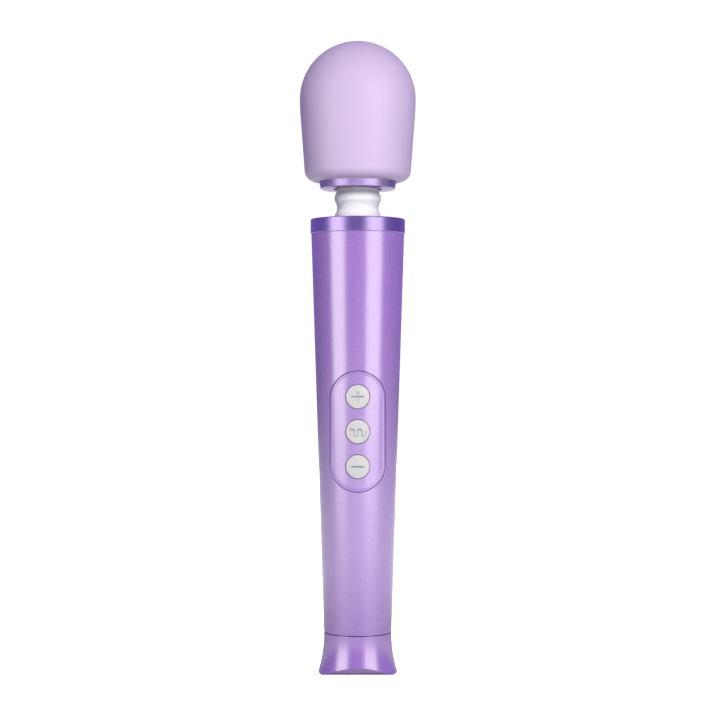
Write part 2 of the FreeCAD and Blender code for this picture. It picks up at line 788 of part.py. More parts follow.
def make_neck_sleeve():
    """The white two-bulge silicone sleeve, clamped by a flange under the collar and one above the ring."""
    upper = collar_top + s.bulge_height
    groove = upper - s.bulge_pitch / 2
    lower = upper - s.bulge_pitch
    swell = s.bulge_radius - s.groove_radius
    quarter = s.bulge_pitch / 4
    curve = (quarter * quarter + swell * swell / 4) / swell
    waist = s.groove_radius + swell / 2
    flange_top = hub_foot - s.flange_thickness
    turned(
        "neck_sleeve",
        to(s.neck_bore, mount_top),
        to(s.neck_flange, mount_top),
        to(s.neck_flange, plate_underside),
        to(s.bulge_radius, plate_underside),
        to(s.bulge_radius, lower),
        round_to(waist, lower + quarter, curve, 1),
        round_to(s.groove_radius, groove, curve, -1),
        round_to(waist, groove + quarter, curve, -1),
        round_to(s.bulge_radius, upper, curve, 1),
        round_to(waist, upper + quarter, curve, 1),
        round_to(s.groove_radius, upper + quarter * 2, curve, -1),
        to(s.groove_radius, flange_top),
        to(s.neck_flange, flange_top),
        to(s.neck_flange, hub_foot),
        to(s.neck_bore, hub_foot),
    )


def make_neck_spring():
    """The steel spring that carries the head: one helix between the motor mount and the upper hub."""
    foot = spring_foot.value + s.spring_wire.value
    top = hub_foot.value + s.hub_seat.value - s.spring_wire.value
    helix = Part.makeHelix(s.spring_pitch.value, top - foot, s.spring_radius.value)
    helix.translate(Vector(0, 0, foot))
    start = Vector(s.spring_radius.value, 0, foot)
    section = Part.Wire([Part.makeCircle(s.spring_wire.value, start, Vector(0, 1, 0))])
    thing = doc.addObject("Part::Feature", "neck_spring")
    thing.Shape = Part.Wire(helix.Edges).makePipeShell([section], True, True)
    thing.Placement = Placement()
    return keep(thing, "neck_spring")


# ---------------------------------------------------------------- motor and drive


def make_motor_mount():
    """The rigid hub on the chassis: the motor bolts below it and the neck spring stands in its top."""
    body = new_body("motor_mount")
    floor_top = motor_face + s.mount_floor
    mount_radius = chassis_radius(motor_face) - s.chassis_wall - s.chassis_gap
    turn_outline(
        body,
        (
            to(s.pilot_radius + s.cover_fit, motor_face),
            to(mount_radius, motor_face),
            to(mount_radius, flange_foot),
            to(chassis_radius(flange_foot), flange_foot),
            to(chassis_radius(flange_foot), mount_top),
            to(s.spring_radius + s.spring_wire + s.slip_fit, mount_top),
            to(s.spring_radius + s.spring_wire + s.slip_fit, spring_foot),
            to(s.coupling_room, spring_foot),
            to(s.coupling_room, floor_top),
            to(s.pilot_radius + s.cover_fit, floor_top),
        ),
    )
    wells = new_sketch(body, "XY_Plane", floor_top)
    holes = new_sketch(body, "XY_Plane")
    for side in (1, -1):
        circle(wells, s.motor_screw_circle * side, ZERO, s.motor_screw_head + s.slip_fit)
        circle(holes, s.motor_screw_circle * side, ZERO, s.motor_screw_radius + s.slip_fit)
    pocket(body, wells, backwards=True)
    pocket(body, holes, backwards=True)
    return keep(body, "motor_mount")




def make_motor():
    """A brushed motor: can, end cap, magnets, brushes, bushes, and the armature that turns in it."""
    can_foot = motor_foot + s.end_cap_height
    inside = s.motor_radius - s.can_wall
    bush = s.motor_shaft_radius + s.bush_wall
    body = new_body("motor_can")
    turn_outline(
        body,
        (
            to(inside, can_foot),
            to(s.motor_radius, can_foot),
            to(s.motor_radius, motor_face),
            to(s.pilot_radius, motor_face),
            to(s.pilot_radius, motor_face + s.pilot_height),
            to(bush, motor_face + s.pilot_height),
            to(bush, motor_face - s.can_wall),
            to(inside, motor_face - s.can_wall),
        ),
    )
    holes = new_sketch(body, "XY_Plane", motor_face - s.motor_length / 2)
    for side in (1, -1):
        circle(holes, s.motor_screw_circle * side, ZERO, s.motor_screw_radius)
    pocket(body, holes, backwards=True)
    keep(body, "motor_can")

    turned(
        "motor_end_cap",
        to(bush, motor_foot),
        to(s.motor_radius, motor_foot),
        to(s.motor_radius, can_foot),
        to(inside, can_foot),
        to(inside, can_foot + s.end_cap_plug),
        to(inside - s.can_wall, can_foot + s.end_cap_plug),
        to(inside - s.can_wall, can_foot),
        to(bush, can_foot),
    )
    bushes = []
    for name, foot in (("LowerBush", motor_foot), ("UpperBush", motor_face + s.pilot_height - s.bush_height)):
        body = new_body(name)
        inner = s.motor_shaft_radius + s.shaft_gap
        turn_outline(
            body,
            (
                to(inner, foot),
                to(bush, foot),
                to(bush, foot + s.bush_height),
                to(inner, foot + s.bush_height),
            ),
        )
        bushes.append(body)
    keep(group("motor_bushes", *bushes), "motor_bushes")

    magnet_foot = armature_middle - s.magnet_height / 2
    magnets = []
    for number, heading in enumerate((0, HALF_TURN)):
        body = new_body(f"Magnet{number}")
        outline = (
            to(s.magnet_radius, magnet_foot),
            to(inside, magnet_foot),
            to(inside, magnet_foot + s.magnet_height),
            to(s.magnet_radius, magnet_foot + s.magnet_height),
        )
        turn_outline(body, outline, MAGNET_SPAN)
        move(body, turn=Rotation(Vector(0, 0, 1), heading + (HALF_TURN - MAGNET_SPAN) / 2))
        magnets.append(body)
    keep(group("motor_magnets", *magnets), "motor_magnets")

    brushes = []
    for number, side in enumerate((1, -1)):
        x = (s.commutator_radius + s.running_gap + s.brush_length / 2) * side
        brushes.append(
            block(f"Brush{number}", s.brush_length, s.brush_width, s.brush_height, x, ZERO, can_foot)
        )
    keep(group("motor_brushes", *brushes), "motor_brushes")


MAGNET_SPAN = 130
POLES = 3
POLE_SPAN = 100
armature_middle = motor_foot + s.armature_lift


def turn_corner(box, x, y, z, heading):
    """Places a box's corner at x and y after both turn about Z by a heading in degrees."""
    angle = Size.of(heading)
    along, across = cosine(angle), sine(angle)
    return move(box, x * along - y * across, x * across + y * along, z, Rotation(Vector(0, 0, 1), heading))


def make_armature():
    """The turning part of the motor: a three-pole core, its coils, the commutator and the shaft."""
    core_foot = armature_middle - s.armature_height / 2
    core_top = core_foot + s.armature_height
    start = s.armature_hub + s.coil_gap
    under_shoe = s.armature_radius - s.pole_tip
    reach = root(under_shoe * under_shoe - s.coil_width * s.coil_width / 4) - s.slip_fit
    shapes = [cylinder("ArmatureHub", s.armature_hub, s.armature_height, z=core_foot)]
    coils = []
    for pole in range(POLES):
        heading = pole * FULL_TURN / POLES
        neck = doc.addObject("Part::Box", f"PoleNeck{pole}")
        bind(neck, "Length", s.armature_radius - s.pole_tip / 2)
        bind(neck, "Width", s.pole_neck)
        bind(neck, "Height", s.armature_height)
        shapes.append(turn_corner(neck, ZERO, -s.pole_neck / 2, core_foot, heading))

        shoe = new_body(f"PoleShoe{pole}")
        outline = (
            to(s.armature_radius - s.pole_tip, core_foot),
            to(s.armature_radius, core_foot),
            to(s.armature_radius, core_top),
            to(s.armature_radius - s.pole_tip, core_top),
        )
        turn_outline(shoe, outline, POLE_SPAN)
        move(shoe, turn=Rotation(Vector(0, 0, 1), heading - POLE_SPAN / 2))
        shapes.append(shoe)

        outer = doc.addObject("Part::Box", f"CoilOuter{pole}")
        inner = doc.addObject("Part::Box", f"CoilInner{pole}")
        for box, width, rise in (
            (outer, s.coil_width, s.coil_rise),
            (inner, s.pole_neck + s.cover_fit * 2, s.cover_fit),
        ):
            bind(box, "Length", reach - start)
            bind(box, "Width", width)
            bind(box, "Height", s.armature_height + rise * 2)
            turn_corner(box, start, -width / 2, core_foot - rise, heading)
        coils.append(cut(f"Coil{pole}", outer, inner))
    bore = cylinder("ArmatureBore", s.motor_shaft_radius, s.armature_height, z=core_foot)
    keep(cut("armature_core", fused("ArmatureBlank", *shapes), bore), "armature_core")
    keep(group("armature_coils", *coils), "armature_coils")
    commutator_foot = motor_foot + s.end_cap_height + s.running_gap
    commutator_top = core_foot - s.coil_rise - s.slip_fit
    ring("commutator", s.motor_shaft_radius, s.commutator_radius, commutator_foot, commutator_top)
    shaft_top = coupling_foot + s.coupling_length / 2
    ring("motor_shaft", ZERO, s.motor_shaft_radius, motor_foot + s.edge_break, shaft_top)


coupling_foot = motor_face + s.pilot_height + s.coupling_lift
coupling_top = coupling_foot + s.coupling_length


def make_drive():
    """The coupling on the motor shaft and the flexible shaft through the neck to the head."""
    middle = coupling_foot + s.coupling_length / 2
    turned(
        "drive_coupling",
        to(s.motor_shaft_radius, coupling_foot),
        to(s.coupling_radius, coupling_foot),
        to(s.coupling_radius, coupling_top),
        to(s.flex_radius, coupling_top),
        to(s.flex_radius, middle),
        to(s.motor_shaft_radius, middle),
    )
    ring("flex_shaft", ZERO, s.flex_radius, middle, shaft_foot + s.socket_depth - s.running_gap)


def make_motor_fixings():
    """The motor's screws and the rubber sleeve that centres it in the chassis."""
    screws = [
        screw(
            f"MotorScrew{number}",
            s.motor_screw_radius,
            s.mount_floor + s.motor_screw_reach,
            s.motor_screw_head,
            s.motor_screw_head_height,
            s.motor_screw_circle * side,
            ZERO,
            motor_face + s.mount_floor,
        )
        for number, side in enumerate((1, -1))
    ]
    keep(group("motor_screws", *screws), "motor_screws")
    sleeve_foot = motor_foot + s.end_cap_height + s.sleeve_lift
    sleeve_radius = chassis_radius(sleeve_foot) - s.chassis_wall - s.slip_fit
    ring("motor_sleeve", s.motor_radius, sleeve_radius, sleeve_foot, sleeve_foot + s.sleeve_height)


# ---------------------------------------------------------------- chassis, battery, board and wires


def chassis_radius(height):
    """Outside radius of the chassis at a height."""
    return tube_radius(height) - s.tube_wall - s.chassis_gap


def chassis_sector(body, foot, top, angle, backwards, side=1):
    """Part of the tapered chassis wall, turned from the joint plane. side is -1 to start from the left."""
    outline = (
        to((chassis_radius(foot) - s.chassis_wall) * side, foot),
        to(chassis_radius(foot) * side, foot),
        to(chassis_radius(top) * side, top),
        to((chassis_radius(top) - s.chassis_wall) * side, top),
    )
    turn_outline(body, outline, angle, backwards)


WINDOW_SIDE = 18  # degrees of wall left on each side of the chassis' window


def chassis_screw_places():
    """x and height of the screws that join the chassis' halves."""
    low = s.board_foot - s.low_screw_drop
    high = s.board_foot + s.board_length + s.high_screw_lift
    return [(s.cell_radius + s.low_boss, low), (s.cell_radius + s.high_boss, high)]




def shelf(body, foot, thickness, front):
    """A flat shelf across the chassis whose front edge is straight, so far in front of the axis."""
    free = chassis_radius(foot) - s.chassis_wall - s.slip_fit
    sunk = free + s.slip_fit + s.shelf_overlap
    side = root(free * free - front * front)
    sketch = new_sketch(body, "XY_Plane", foot)
    draw(
        sketch,
        (
            to(side, -front),
            round_to(free, ZERO, free, 1),
            to(sunk, ZERO),
            round_to(ZERO, sunk, sunk, 1),
            round_to(-sunk, ZERO, sunk, 1),
            to(-free, ZERO),
            round_to(-side, -front, free, 1),
        ),
    )
    pad(body, sketch, thickness)


def bosses(body, backwards):
    """Pads the round bosses for the chassis screws from the joint plane to the wall."""
    for x, level in chassis_screw_places():
        outside, edge = chassis_radius(level) - s.chassis_wall / 2, x + s.boss_radius
        sketch = new_sketch(body, "XZ_Plane")
        for side in (1, -1):
            circle(sketch, x * side, level, s.boss_radius)
        feature = pad(body, sketch, root(outside * outside - edge * edge))
        feature.Reversed = backwards


def bore(body, places, radius, backwards, level=ZERO):
    """Bores round holes along Y from a level in front of the axis."""
    sketch = new_sketch(body, "XZ_Plane", level)
    for x, height in places:
        for side in (1, -1):
            circle(sketch, x * side, height, radius)
    pocket(body, sketch, backwards=backwards)


def wire_places():
    """x and y of the holes that the wires take through the chassis' shelves."""
    return {"motor": (5.8, 3.0), "battery": (3.0, 3.0), "charge": (1.6, 8.3)}


def make_chassis():
    """The two halves of the inner frame that carries the battery, the board and the motor."""
    rear = new_body("chassis_rear")
    chassis_sector(rear, s.chassis_foot, flange_foot, HALF_TURN, False)
    floor_radius = chassis_radius(s.chassis_foot) - s.chassis_wall / 2
    floor = (
        to(ZERO, s.chassis_foot),
        to(floor_radius, s.chassis_foot),
        to(floor_radius, s.cell_foot),
        to(ZERO, s.cell_foot),
    )
    turn_outline(rear, floor, HALF_TURN)
    board_back = board_face - s.board_thickness
    shelf(rear, s.board_foot, s.shelf_thickness, board_back)
    shelf(rear, s.board_foot + s.board_length - s.shelf_thickness, s.shelf_thickness, board_back)
    bosses(rear, True)
    bore(rear, chassis_screw_places(), s.chassis_screw_radius, False)
    bore(rear, board_screw_places(), s.board_screw_radius, True)
    holes = new_sketch(rear, "XY_Plane")
    for x, y in wire_places().values():
        circle(holes, x, y, s.wire_hole)
        circle(holes, -x, y, s.wire_hole)
    pocket(rear, holes, backwards=True)
    keep(rear, "chassis_rear")

    front = new_body("chassis_front")
    window_foot = s.board_foot - s.low_screw_drop + s.boss_radius + s.edge_break
    window_top = s.board_foot + s.board_length + s.high_screw_lift - s.boss_radius - s.edge_break
    chassis_sector(front, s.chassis_foot, window_foot, HALF_TURN, True)
    chassis_sector(front, window_top, flange_foot, HALF_TURN, True)
    chassis_sector(front, window_foot, window_top, WINDOW_SIDE, True)
    chassis_sector(front, window_foot, window_top, WINDOW_SIDE, False, side=-1)
    bosses(front, False)
    bore(front, chassis_screw_places(), s.chassis_screw_radius, True)
    head_room = s.chassis_screw_head + s.slip_fit
    bore(front, chassis_screw_places(), head_room, True, s.chassis_screw_seat)
    keep(front, "chassis_front")


def board_screw_places():
    """x and height of the screws that hold the board to the shelves."""
    half = s.shelf_thickness / 2
    return [
        (s.board_screw_x, s.board_foot + half),
        (s.board_screw_x, s.board_foot + s.board_length - half),
    ]


def screw_set(name, places, sizes, seat):
    """Screws along Y in mirrored pairs. sizes are shank radius, length, head radius and head height."""
    screws = []
    for number, (x, level) in enumerate(places):
        for side in (1, -1):
            label = f"{name}{number}{'right' if side > 0 else 'left'}"
            screws.append(screw(label, *sizes, x * side, -seat, level, FRONT))
    keep(group(name, *screws), name)


def make_screws():
    """The screws that join the chassis and those that hold the board."""
    screw_set(
        "chassis_screws",
        chassis_screw_places(),
        (s.chassis_screw_radius, s.chassis_screw_length, s.chassis_screw_head, s.chassis_screw_head_height),
        s.chassis_screw_seat,
    )
    screw_set(
        "board_screws",
        board_screw_places(),
        (s.board_screw_radius, s.board_screw_length, s.board_screw_head, s.board_screw_head_height),
        board_face,
    )


def make_board():
    """The control board with its screw holes and the chips on its back."""
    y = -(board_face - s.board_thickness / 2)
    blank = block("BoardBlank", s.board_width, s.board_thickness, s.board_length, ZERO, y, s.board_foot)
    holes = [
        cylinder(f"BoardHole{row}{side}", s.board_screw_radius, board_face, x=x * side, z=level, turn=FRONT)
        for row, (x, level) in enumerate(board_screw_places())
        for side in (1, -1)
    ]
    keep(cut("control_board", blank, fused("BoardHoles", *holes)), "control_board")
    back = s.board_thickness - board_face + s.chip_thickness / 2
    chips = [
        block(f"Chip{number}", width, s.chip_thickness, height, Size.of(x), back, s.board_foot + lift)
        for number, (x, lift, width, height) in enumerate(CHIPS)
    ]
    keep(group("board_chips", *chips), "board_chips")


# x, height above the board's lower edge, width and height of each chip
CHIPS = ((-0.8, 20.0, 7.0, 7.0), (-3.5, 30.5, 4.0, 3.0), (3.4, 31.0, 3.0, 2.6))


def make_battery():
    """The battery cell and the foam rings that hold it in the chassis."""
    top = s.cell_foot + s.cell_length
    turned(
        "battery_cell",
        to(ZERO, s.cell_foot),
        to(s.cell_radius - s.edge_break, s.cell_foot),
        to(s.cell_radius, s.cell_foot + s.edge_break),
        to(s.cell_radius, top - s.edge_break),
        to(s.cell_radius - s.edge_break, top),
        to(ZERO, top),
    )
    pads = []
    for name, pitches in (("LowerPad", 0), ("UpperPad", 1)):
        foot = s.cell_foot + s.pad_lift + s.pad_pitch * pitches
        outside = chassis_radius(foot) - s.chassis_wall - s.slip_fit
        body = new_body(name)
        outline = (
            to(s.cell_radius, foot),
            to(outside, foot),
            to(outside, foot + s.pad_height),
            to(s.cell_radius, foot + s.pad_height),
        )
        turn_outline(body, outline, PAD_SPAN)
        move(body, turn=Rotation(Vector(0, 0, 1), 90 + (FULL_TURN - PAD_SPAN) / 2))
        pads.append(body)
    keep(group("battery_pads", *pads), "battery_pads")


PAD_SPAN = 310


def wire(name, points):
    """Two mirrored insulated wires along straight runs joined by tangent bends."""
    solids = []
    for side in (1, -1):
        corners = [Vector(p.x * side, p.y, p.z) for p in points]
        edges = []
        here = corners[0]
        for before, corner, after in zip(corners, corners[1:], corners[2:]):
            inward, outward = (before - corner).normalize(), (after - corner).normalize()
            half_turn = (math.pi - inward.getAngle(outward)) / 2
            run = s.lead_bend.value * math.tan(half_turn)
            start, end = corner + inward * run, corner + outward * run
            centre = corner + (inward + outward).normalize() * (s.lead_bend.value / math.cos(half_turn))
            middle = centre + (corner - centre).normalize() * s.lead_bend.value
            edges += [Part.LineSegment(here, start).toShape(), Part.Arc(start, middle, end).toShape()]
            here = end
        edges.append(Part.LineSegment(here, corners[-1]).toShape())
        section = Part.Wire([Part.makeCircle(s.lead_radius.value, corners[0], corners[1] - corners[0])])
        solids.append(Part.Wire(edges).makePipeShell([section], True, False))
    thing = doc.addObject("Part::Feature", name)
    thing.Shape = Part.makeCompound(solids)
    thing.Placement = Placement()
    return keep(thing, name)


MOTOR_WIRE_RISE, BATTERY_WIRE_RISE, CHARGE_WIRE_RISE = 41.0, 11.0, 13.0  # above the board's lower edge
SOCKET_WIRE_Y, SOCKET_WIRE_RISE = 3.0, 3.0
CHASSIS_WIRE_DROP = 1.0


def make_wires():
    """The wires from the motor, the battery and the charging socket to the back of the board."""
    board_back = -(board_face - s.board_thickness).value
    places = wire_places()
    board_foot = s.board_foot.value

    def down_to_board(place, start, level):
        x, y = place
        return [Vector(x, y, start), Vector(x, y, level), Vector(x, board_back, level)]

    wire("motor_wires", down_to_board(places["motor"], motor_foot.value, board_foot + MOTOR_WIRE_RISE))
    cell_top = (s.cell_foot + s.cell_length).value
    wire("battery_wires", down_to_board(places["battery"], cell_top, board_foot + BATTERY_WIRE_RISE))
    x, y = places["charge"]
    socket_top = (s.base_floor + s.socket_body_height).value
    climb = [
        Vector(x, SOCKET_WIRE_Y, socket_top),
        Vector(x, SOCKET_WIRE_Y, socket_top + SOCKET_WIRE_RISE),
        Vector(x, y, s.chassis_foot.value - CHASSIS_WIRE_DROP),
    ]
    wire("charge_wires", climb + down_to_board(places["charge"], 0, board_foot + CHARGE_WIRE_RISE)[1:])


# ---------------------------------------------------------------- head


def make_ring():
    """The metal ring under the head: a short wall and a bottom with the neck's hole."""
    inside = s.ring_radius - s.ring_wall
    turned(
        "head_ring",
        to(s.neck_hole_radius, ring_foot),
        to(s.ring_radius - s.ring_edge, ring_foot),
        round_to(s.ring_radius, ring_foot + s.ring_edge, s.ring_edge, 1),
        to(s.ring_radius, ring_top),
        to(inside, ring_top),
        to(inside, ring_foot + s.ring_plate),
        to(s.neck_hole_radius, ring_foot + s.ring_plate),
    )


def make_cover():
    """The silicone cover: a dome, gently tapered sides, a rounded lower corner and a lip under the core."""
    curve_foot = head_middle - s.head_side_radius * sine(s.head_taper)
    curve_radius = s.head_radius - s.head_side_radius * (1 - cosine(s.head_taper))
    corner_height = s.head_corner * (1 - sine(s.head_taper))
    tangent = sine(s.head_taper) / cosine(s.head_taper)
    corner_top = ring_top + corner_height
    side_foot = curve_radius - (curve_foot - corner_top) * tangent
    corner_inset = s.head_corner * cosine(s.head_taper)
    inner_radius = s.head_radius - s.cover_wall
    bevel_top = core_foot + s.core_bevel
    hole = s.ring_radius + s.slip_fit
    turned(
        "head_cover",
        to(hole, ring_top),
        to(side_foot - corner_inset, ring_top),
        round_to(side_foot, corner_top, s.head_corner, 1),
        to(curve_radius, curve_foot),
        round_to(s.head_radius, head_middle, s.head_side_radius, 1),
        round_to(ZERO, head_top, s.head_radius, 1),
        to(ZERO, head_top - s.cover_wall),
        round_to(inner_radius, head_middle, inner_radius, -1),
        to(core_bevel_radius + s.cover_fit, bevel_top),
        to(s.core_foot_radius + s.cover_fit, core_foot - s.cover_fit),
        to(hole, core_foot - s.cover_fit),
    )


core_foot = ring_top + s.cover_wall
core_radius = s.head_radius - s.cover_wall - s.cover_fit
core_bevel_radius = s.core_foot_radius + s.core_bevel_width


def core_side(level):
    """Outside radius of the core's slightly tapered wall at a level below the dome."""
    bevel_top = core_foot + s.core_bevel
    slope = (core_radius - core_bevel_radius) / (head_middle - bevel_top)
    return core_bevel_radius + slope * (level - bevel_top)


def make_cores():
    """The rigid core in two halves: a cup with the lower bearing's seat, and a dome with the upper one."""
    split = head_middle - s.core_split
    lip = split + s.core_lip
    half_wall = s.core_wall / 2
    seat = s.bearing_outside
    skirt_outside = s.ring_radius - s.ring_wall - s.cover_fit
    skirt_inside = skirt_outside - s.skirt_wall
    skirt_foot = ring_foot + s.ring_plate + s.slip_fit
    floor_hole = race_outer - s.slip_fit
    body = new_body("core_cup")
    turn_outline(
        body,
        (
            to(skirt_inside, skirt_foot),
            to(skirt_outside, skirt_foot),
            to(skirt_outside, ring_top + s.cover_fit),
            to(s.ring_radius, ring_top + s.cover_fit),
            to(s.ring_radius, core_foot),
            to(s.core_foot_radius, core_foot),
            to(core_bevel_radius, core_foot + s.core_bevel),
            to(core_side(lip), lip),
            to(core_side(lip) - half_wall, lip),
            to(core_side(split) - half_wall, split),
            to(core_side(split) - s.core_wall, split),
            to(core_bevel_radius - s.core_wall, core_floor_top),
            to(seat + s.seat_wall, core_floor_top),
            to(seat + s.seat_wall, core_floor_top + s.bearing_width),
            to(seat, core_floor_top + s.bearing_width),
            to(seat, core_floor_top),
            to(floor_hole, core_floor_top),
            to(floor_hole, hub_top),
            to(skirt_inside, hub_top),
        ),
    )
    pillars = new_sketch(body, "XY_Plane", core_floor_top)
    bores = new_sketch(body, "XY_Plane", hub_foot)
    for x, y in hub_screw_places():
        circle(pillars, x, y, s.hub_pillar)
        circle(bores, x, y, s.hub_screw_radius)
    pad(body, pillars, s.bearing_width - 1.0)
    pocket(body, bores, backwards=True, depth=s.hub_screw_depth)
    keep(body, "core_cup")

    inner = core_radius - s.core_wall
    boss = seat + s.seat_wall - 0.2
    boss_top = head_middle + root(inner * inner - boss * boss)
    bearing_top = upper_bearing_foot + s.bearing_width
    shaft_room = race_outer - s.slip_fit
    turned(
        "core_dome",
        to(ZERO, bearing_top + s.shaft_end_room),
        to(shaft_room, bearing_top + s.shaft_end_room),
        to(shaft_room, bearing_top),
        to(seat, bearing_top),
        to(seat, upper_bearing_foot),
        to(boss, upper_bearing_foot),
        to(boss, boss_top),
        round_to(inner, head_middle, inner, -1),
        to(core_side(lip) - s.core_wall, lip),
        to(core_side(split) - s.core_wall, split + s.slip_fit),
        to(core_side(split) - half_wall - s.slip_fit, split + s.slip_fit),
        to(core_side(lip) - half_wall - s.slip_fit, lip + s.cover_fit),
        to(core_side(lip), lip + s.cover_fit),
        to(core_radius, head_middle),
        round_to(ZERO, head_middle + core_radius, core_radius, 1),
    )


HUB_SCREWS = 3


def hub_screw_places():
    """x and y of the screws between the neck's upper hub and the core."""
    for number in range(HUB_SCREWS):
        angle = math.radians(90 + number * FULL_TURN / HUB_SCREWS)
        yield s.hub_screw_circle * round(math.cos(angle), 9), s.hub_screw_circle * round(math.sin(angle), 9)


def make_hub():
    """The upper hub of the neck: a disc that clamps the sleeve and seats the spring, and its screws."""
    body = new_body("neck_hub")
    hub_radius = s.ring_radius - s.ring_wall - s.cover_fit - s.skirt_wall - s.slip_fit
    seat = s.spring_radius + s.spring_wire + s.slip_fit
    hole = s.bearing_inside + s.slip_fit * 4
    turn_outline(
        body,
        (
            to(seat, hub_foot),
            to(hub_radius, hub_foot),
            to(hub_radius, hub_top),
            to(hole, hub_top),
            to(hole, hub_foot + s.hub_seat),
            to(seat, hub_foot + s.hub_seat),
        ),
    )
    wells = new_sketch(body, "XY_Plane", hub_foot)
    bores = new_sketch(body, "XY_Plane", hub_foot)
    screws = []
    for number, (x, y) in enumerate(hub_screw_places()):
        circle(wells, x, y, s.hub_screw_head)
        circle(bores, x, y, s.hub_screw_radius)
        screws.append(
            screw(
                f"HubScrew{number}",
                s.hub_screw_radius,
                s.hub_screw_depth - s.hub_screw_head_height - s.hub_screw_end_room,
                s.hub_screw_head,
                s.hub_screw_head_height,
                x,
                y,
                hub_foot + s.hub_screw_head_height,
                Rotation(Vector(1, 0, 0), HALF_TURN),
            )
        )
    pocket(body, wells, backwards=True, depth=s.hub_screw_head_height)
    pocket(body, bores, backwards=True)
    keep(body, "neck_hub")
    keep(group("hub_screws", *screws), "hub_screws")


# ---------------------------------------------------------------- bearings and the eccentric


def make_bearing(prefix, foot):
    """A ball bearing in four pieces: outer ring, inner ring, cage and eight balls."""
    top = foot + s.bearing_width
    middle = foot + s.bearing_width / 2
    race = s.ball_radius + s.running_gap
    outer_mouth = root(race * race - (race_outer - ball_circle) * (race_outer - ball_circle))
    inner_mouth = root(race * race - (ball_circle - race_inner) * (ball_circle - race_inner))
    turned(
        f"{prefix}_bearing_outer",
        to(race_outer, foot),
        to(s.bearing_outside, foot),
        to(s.bearing_outside, top),
        to(race_outer, top),
        to(race_outer, middle + outer_mouth),
        round_to(race_outer, middle - outer_mouth, race, -1),
    )
    turned(
        f"{prefix}_bearing_inner",
        to(s.bearing_inside, foot),
        to(race_inner, foot),
        to(race_inner, middle - inner_mouth),
        round_to(race_inner, middle + inner_mouth, race, -1),
        to(race_inner, top),
        to(s.bearing_inside, top),
    )
    balls, pockets = [], []
    for number in range(BALLS):
        angle = number * FULL_TURN / BALLS
        along, across = round(math.cos(math.radians(angle)), 9), round(math.sin(math.radians(angle)), 9)
        x, y = ball_circle * along, ball_circle * across
        balls.append(ball(f"{prefix}_ball{number}", s.ball_radius, x, y, middle))
        inside = s.bearing_inside
        hole = cylinder(
            f"{prefix}_pocket{number}",
            race,
            s.bearing_outside - inside,
            inside * along,
            inside * across,
            middle,
            Rotation(Vector(0, 0, 1), Vector(along, across, 0)),
        )
        pockets.append(hole)
    keep(group(f"{prefix}_bearing_balls", *balls), f"{prefix}_bearing_balls")
    body = new_body(f"{prefix}_cage_blank")
    half = s.cage_height / 2
    turn_outline(
        body,
        (
            to(ball_circle - s.cage_wall / 2, middle - half),
            to(ball_circle + s.cage_wall / 2, middle - half),
            to(ball_circle + s.cage_wall / 2, middle + half),
            to(ball_circle - s.cage_wall / 2, middle + half),
        ),
    )
    holes = fused(f"{prefix}_cage_pockets", *pockets)
    keep(cut(f"{prefix}_bearing_cage", body, holes), f"{prefix}_bearing_cage")


BALLS = 8


def make_eccentric():
    """The shaft in the head, the half-round weight on it and the screw that holds the weight."""
    lower_top = core_floor_top + s.bearing_width
    shaft_top = upper_bearing_foot + s.bearing_width + s.shaft_end_room / 2
    turned(
        "eccentric_shaft",
        to(s.flex_radius + s.shaft_gap, shaft_foot),
        to(s.bearing_inside, shaft_foot),
        to(s.bearing_inside, lower_top),
        to(s.shaft_step, lower_top),
        to(s.shaft_step, upper_bearing_foot),
        to(s.bearing_inside, upper_bearing_foot),
        to(s.bearing_inside, shaft_top),
        to(ZERO, shaft_top),
        to(ZERO, shaft_foot + s.socket_depth),
        to(s.flex_radius + s.shaft_gap, shaft_foot + s.socket_depth),
    )
    weight_foot = lower_top + s.weight_lift
    weight_middle = weight_foot + s.weight_height / 2
    body = new_body("WeightBlank")
    side = s.weight_radius
    sketch = new_sketch(body, "XY_Plane", weight_foot)
    draw(
        sketch,
        (
            to(-side, ZERO),
            round_to(ZERO, -side, side, 1),
            round_to(side, ZERO, side, 1),
            to(s.weight_cheek, ZERO),
            round_to(ZERO, s.weight_cheek, s.weight_cheek, 1),
            round_to(-s.weight_cheek, ZERO, s.weight_cheek, 1),
        ),
    )
    pad(body, sketch, s.weight_height)
    bore = cylinder("WeightBore", s.shaft_step, s.weight_height, z=weight_foot)
    tap = cylinder("WeightTap", s.weight_screw_radius, s.weight_radius, z=weight_middle, turn=BACK)
    keep(cut("eccentric_weight", body, fused("WeightHoles", bore, tap)), "eccentric_weight")
    length = s.weight_cheek - s.shaft_step
    grub = cylinder("weight_screw", s.weight_screw_radius, length, y=s.shaft_step, z=weight_middle, turn=BACK)
    keep(grub, "weight_screw")


shaft_foot = core_floor_top - s.shaft_tail


# ---------------------------------------------------------------- build, check and write

make_base_cap()
make_base_seal()
make_charge_socket()
make_handle_tube()
make_control_panel()
button_face = taper("ButtonFace", -(s.panel_rise + s.button_rise))
for button, button_level in button_levels():
    make_button(button, button_level, button_face)
make_switches()
make_collar()
make_neck_sleeve()
make_neck_spring()
make_motor_mount()
make_motor()
make_armature()
make_drive()
make_motor_fixings()
make_chassis()
make_screws()
make_board()
make_battery()
make_wires()
make_ring()
make_cover()
make_cores()
make_hub()
make_bearing("lower", core_floor_top)
make_bearing("upper", upper_bearing_foot)
make_eccentric()
doc.recompute()

for thing in doc.Objects:
    if "Invalid" in thing.State or "Error" in thing.State:
        raise RuntimeError(f"{thing.Label} failed: {thing.State}")
for name, thing in parts.items():
    shape = thing.Shape
    if shape.isNull() or not shape.isValid() or not shape.Solids:
        raise RuntimeError(f"{name} has no valid solid")

os.makedirs("parts", exist_ok=True)
for name, thing in parts.items():
    thing.Shape.exportStep(f"parts/{name}.step")
print(f"{len(parts)} pieces, {head_top.value:.2f} mm long")
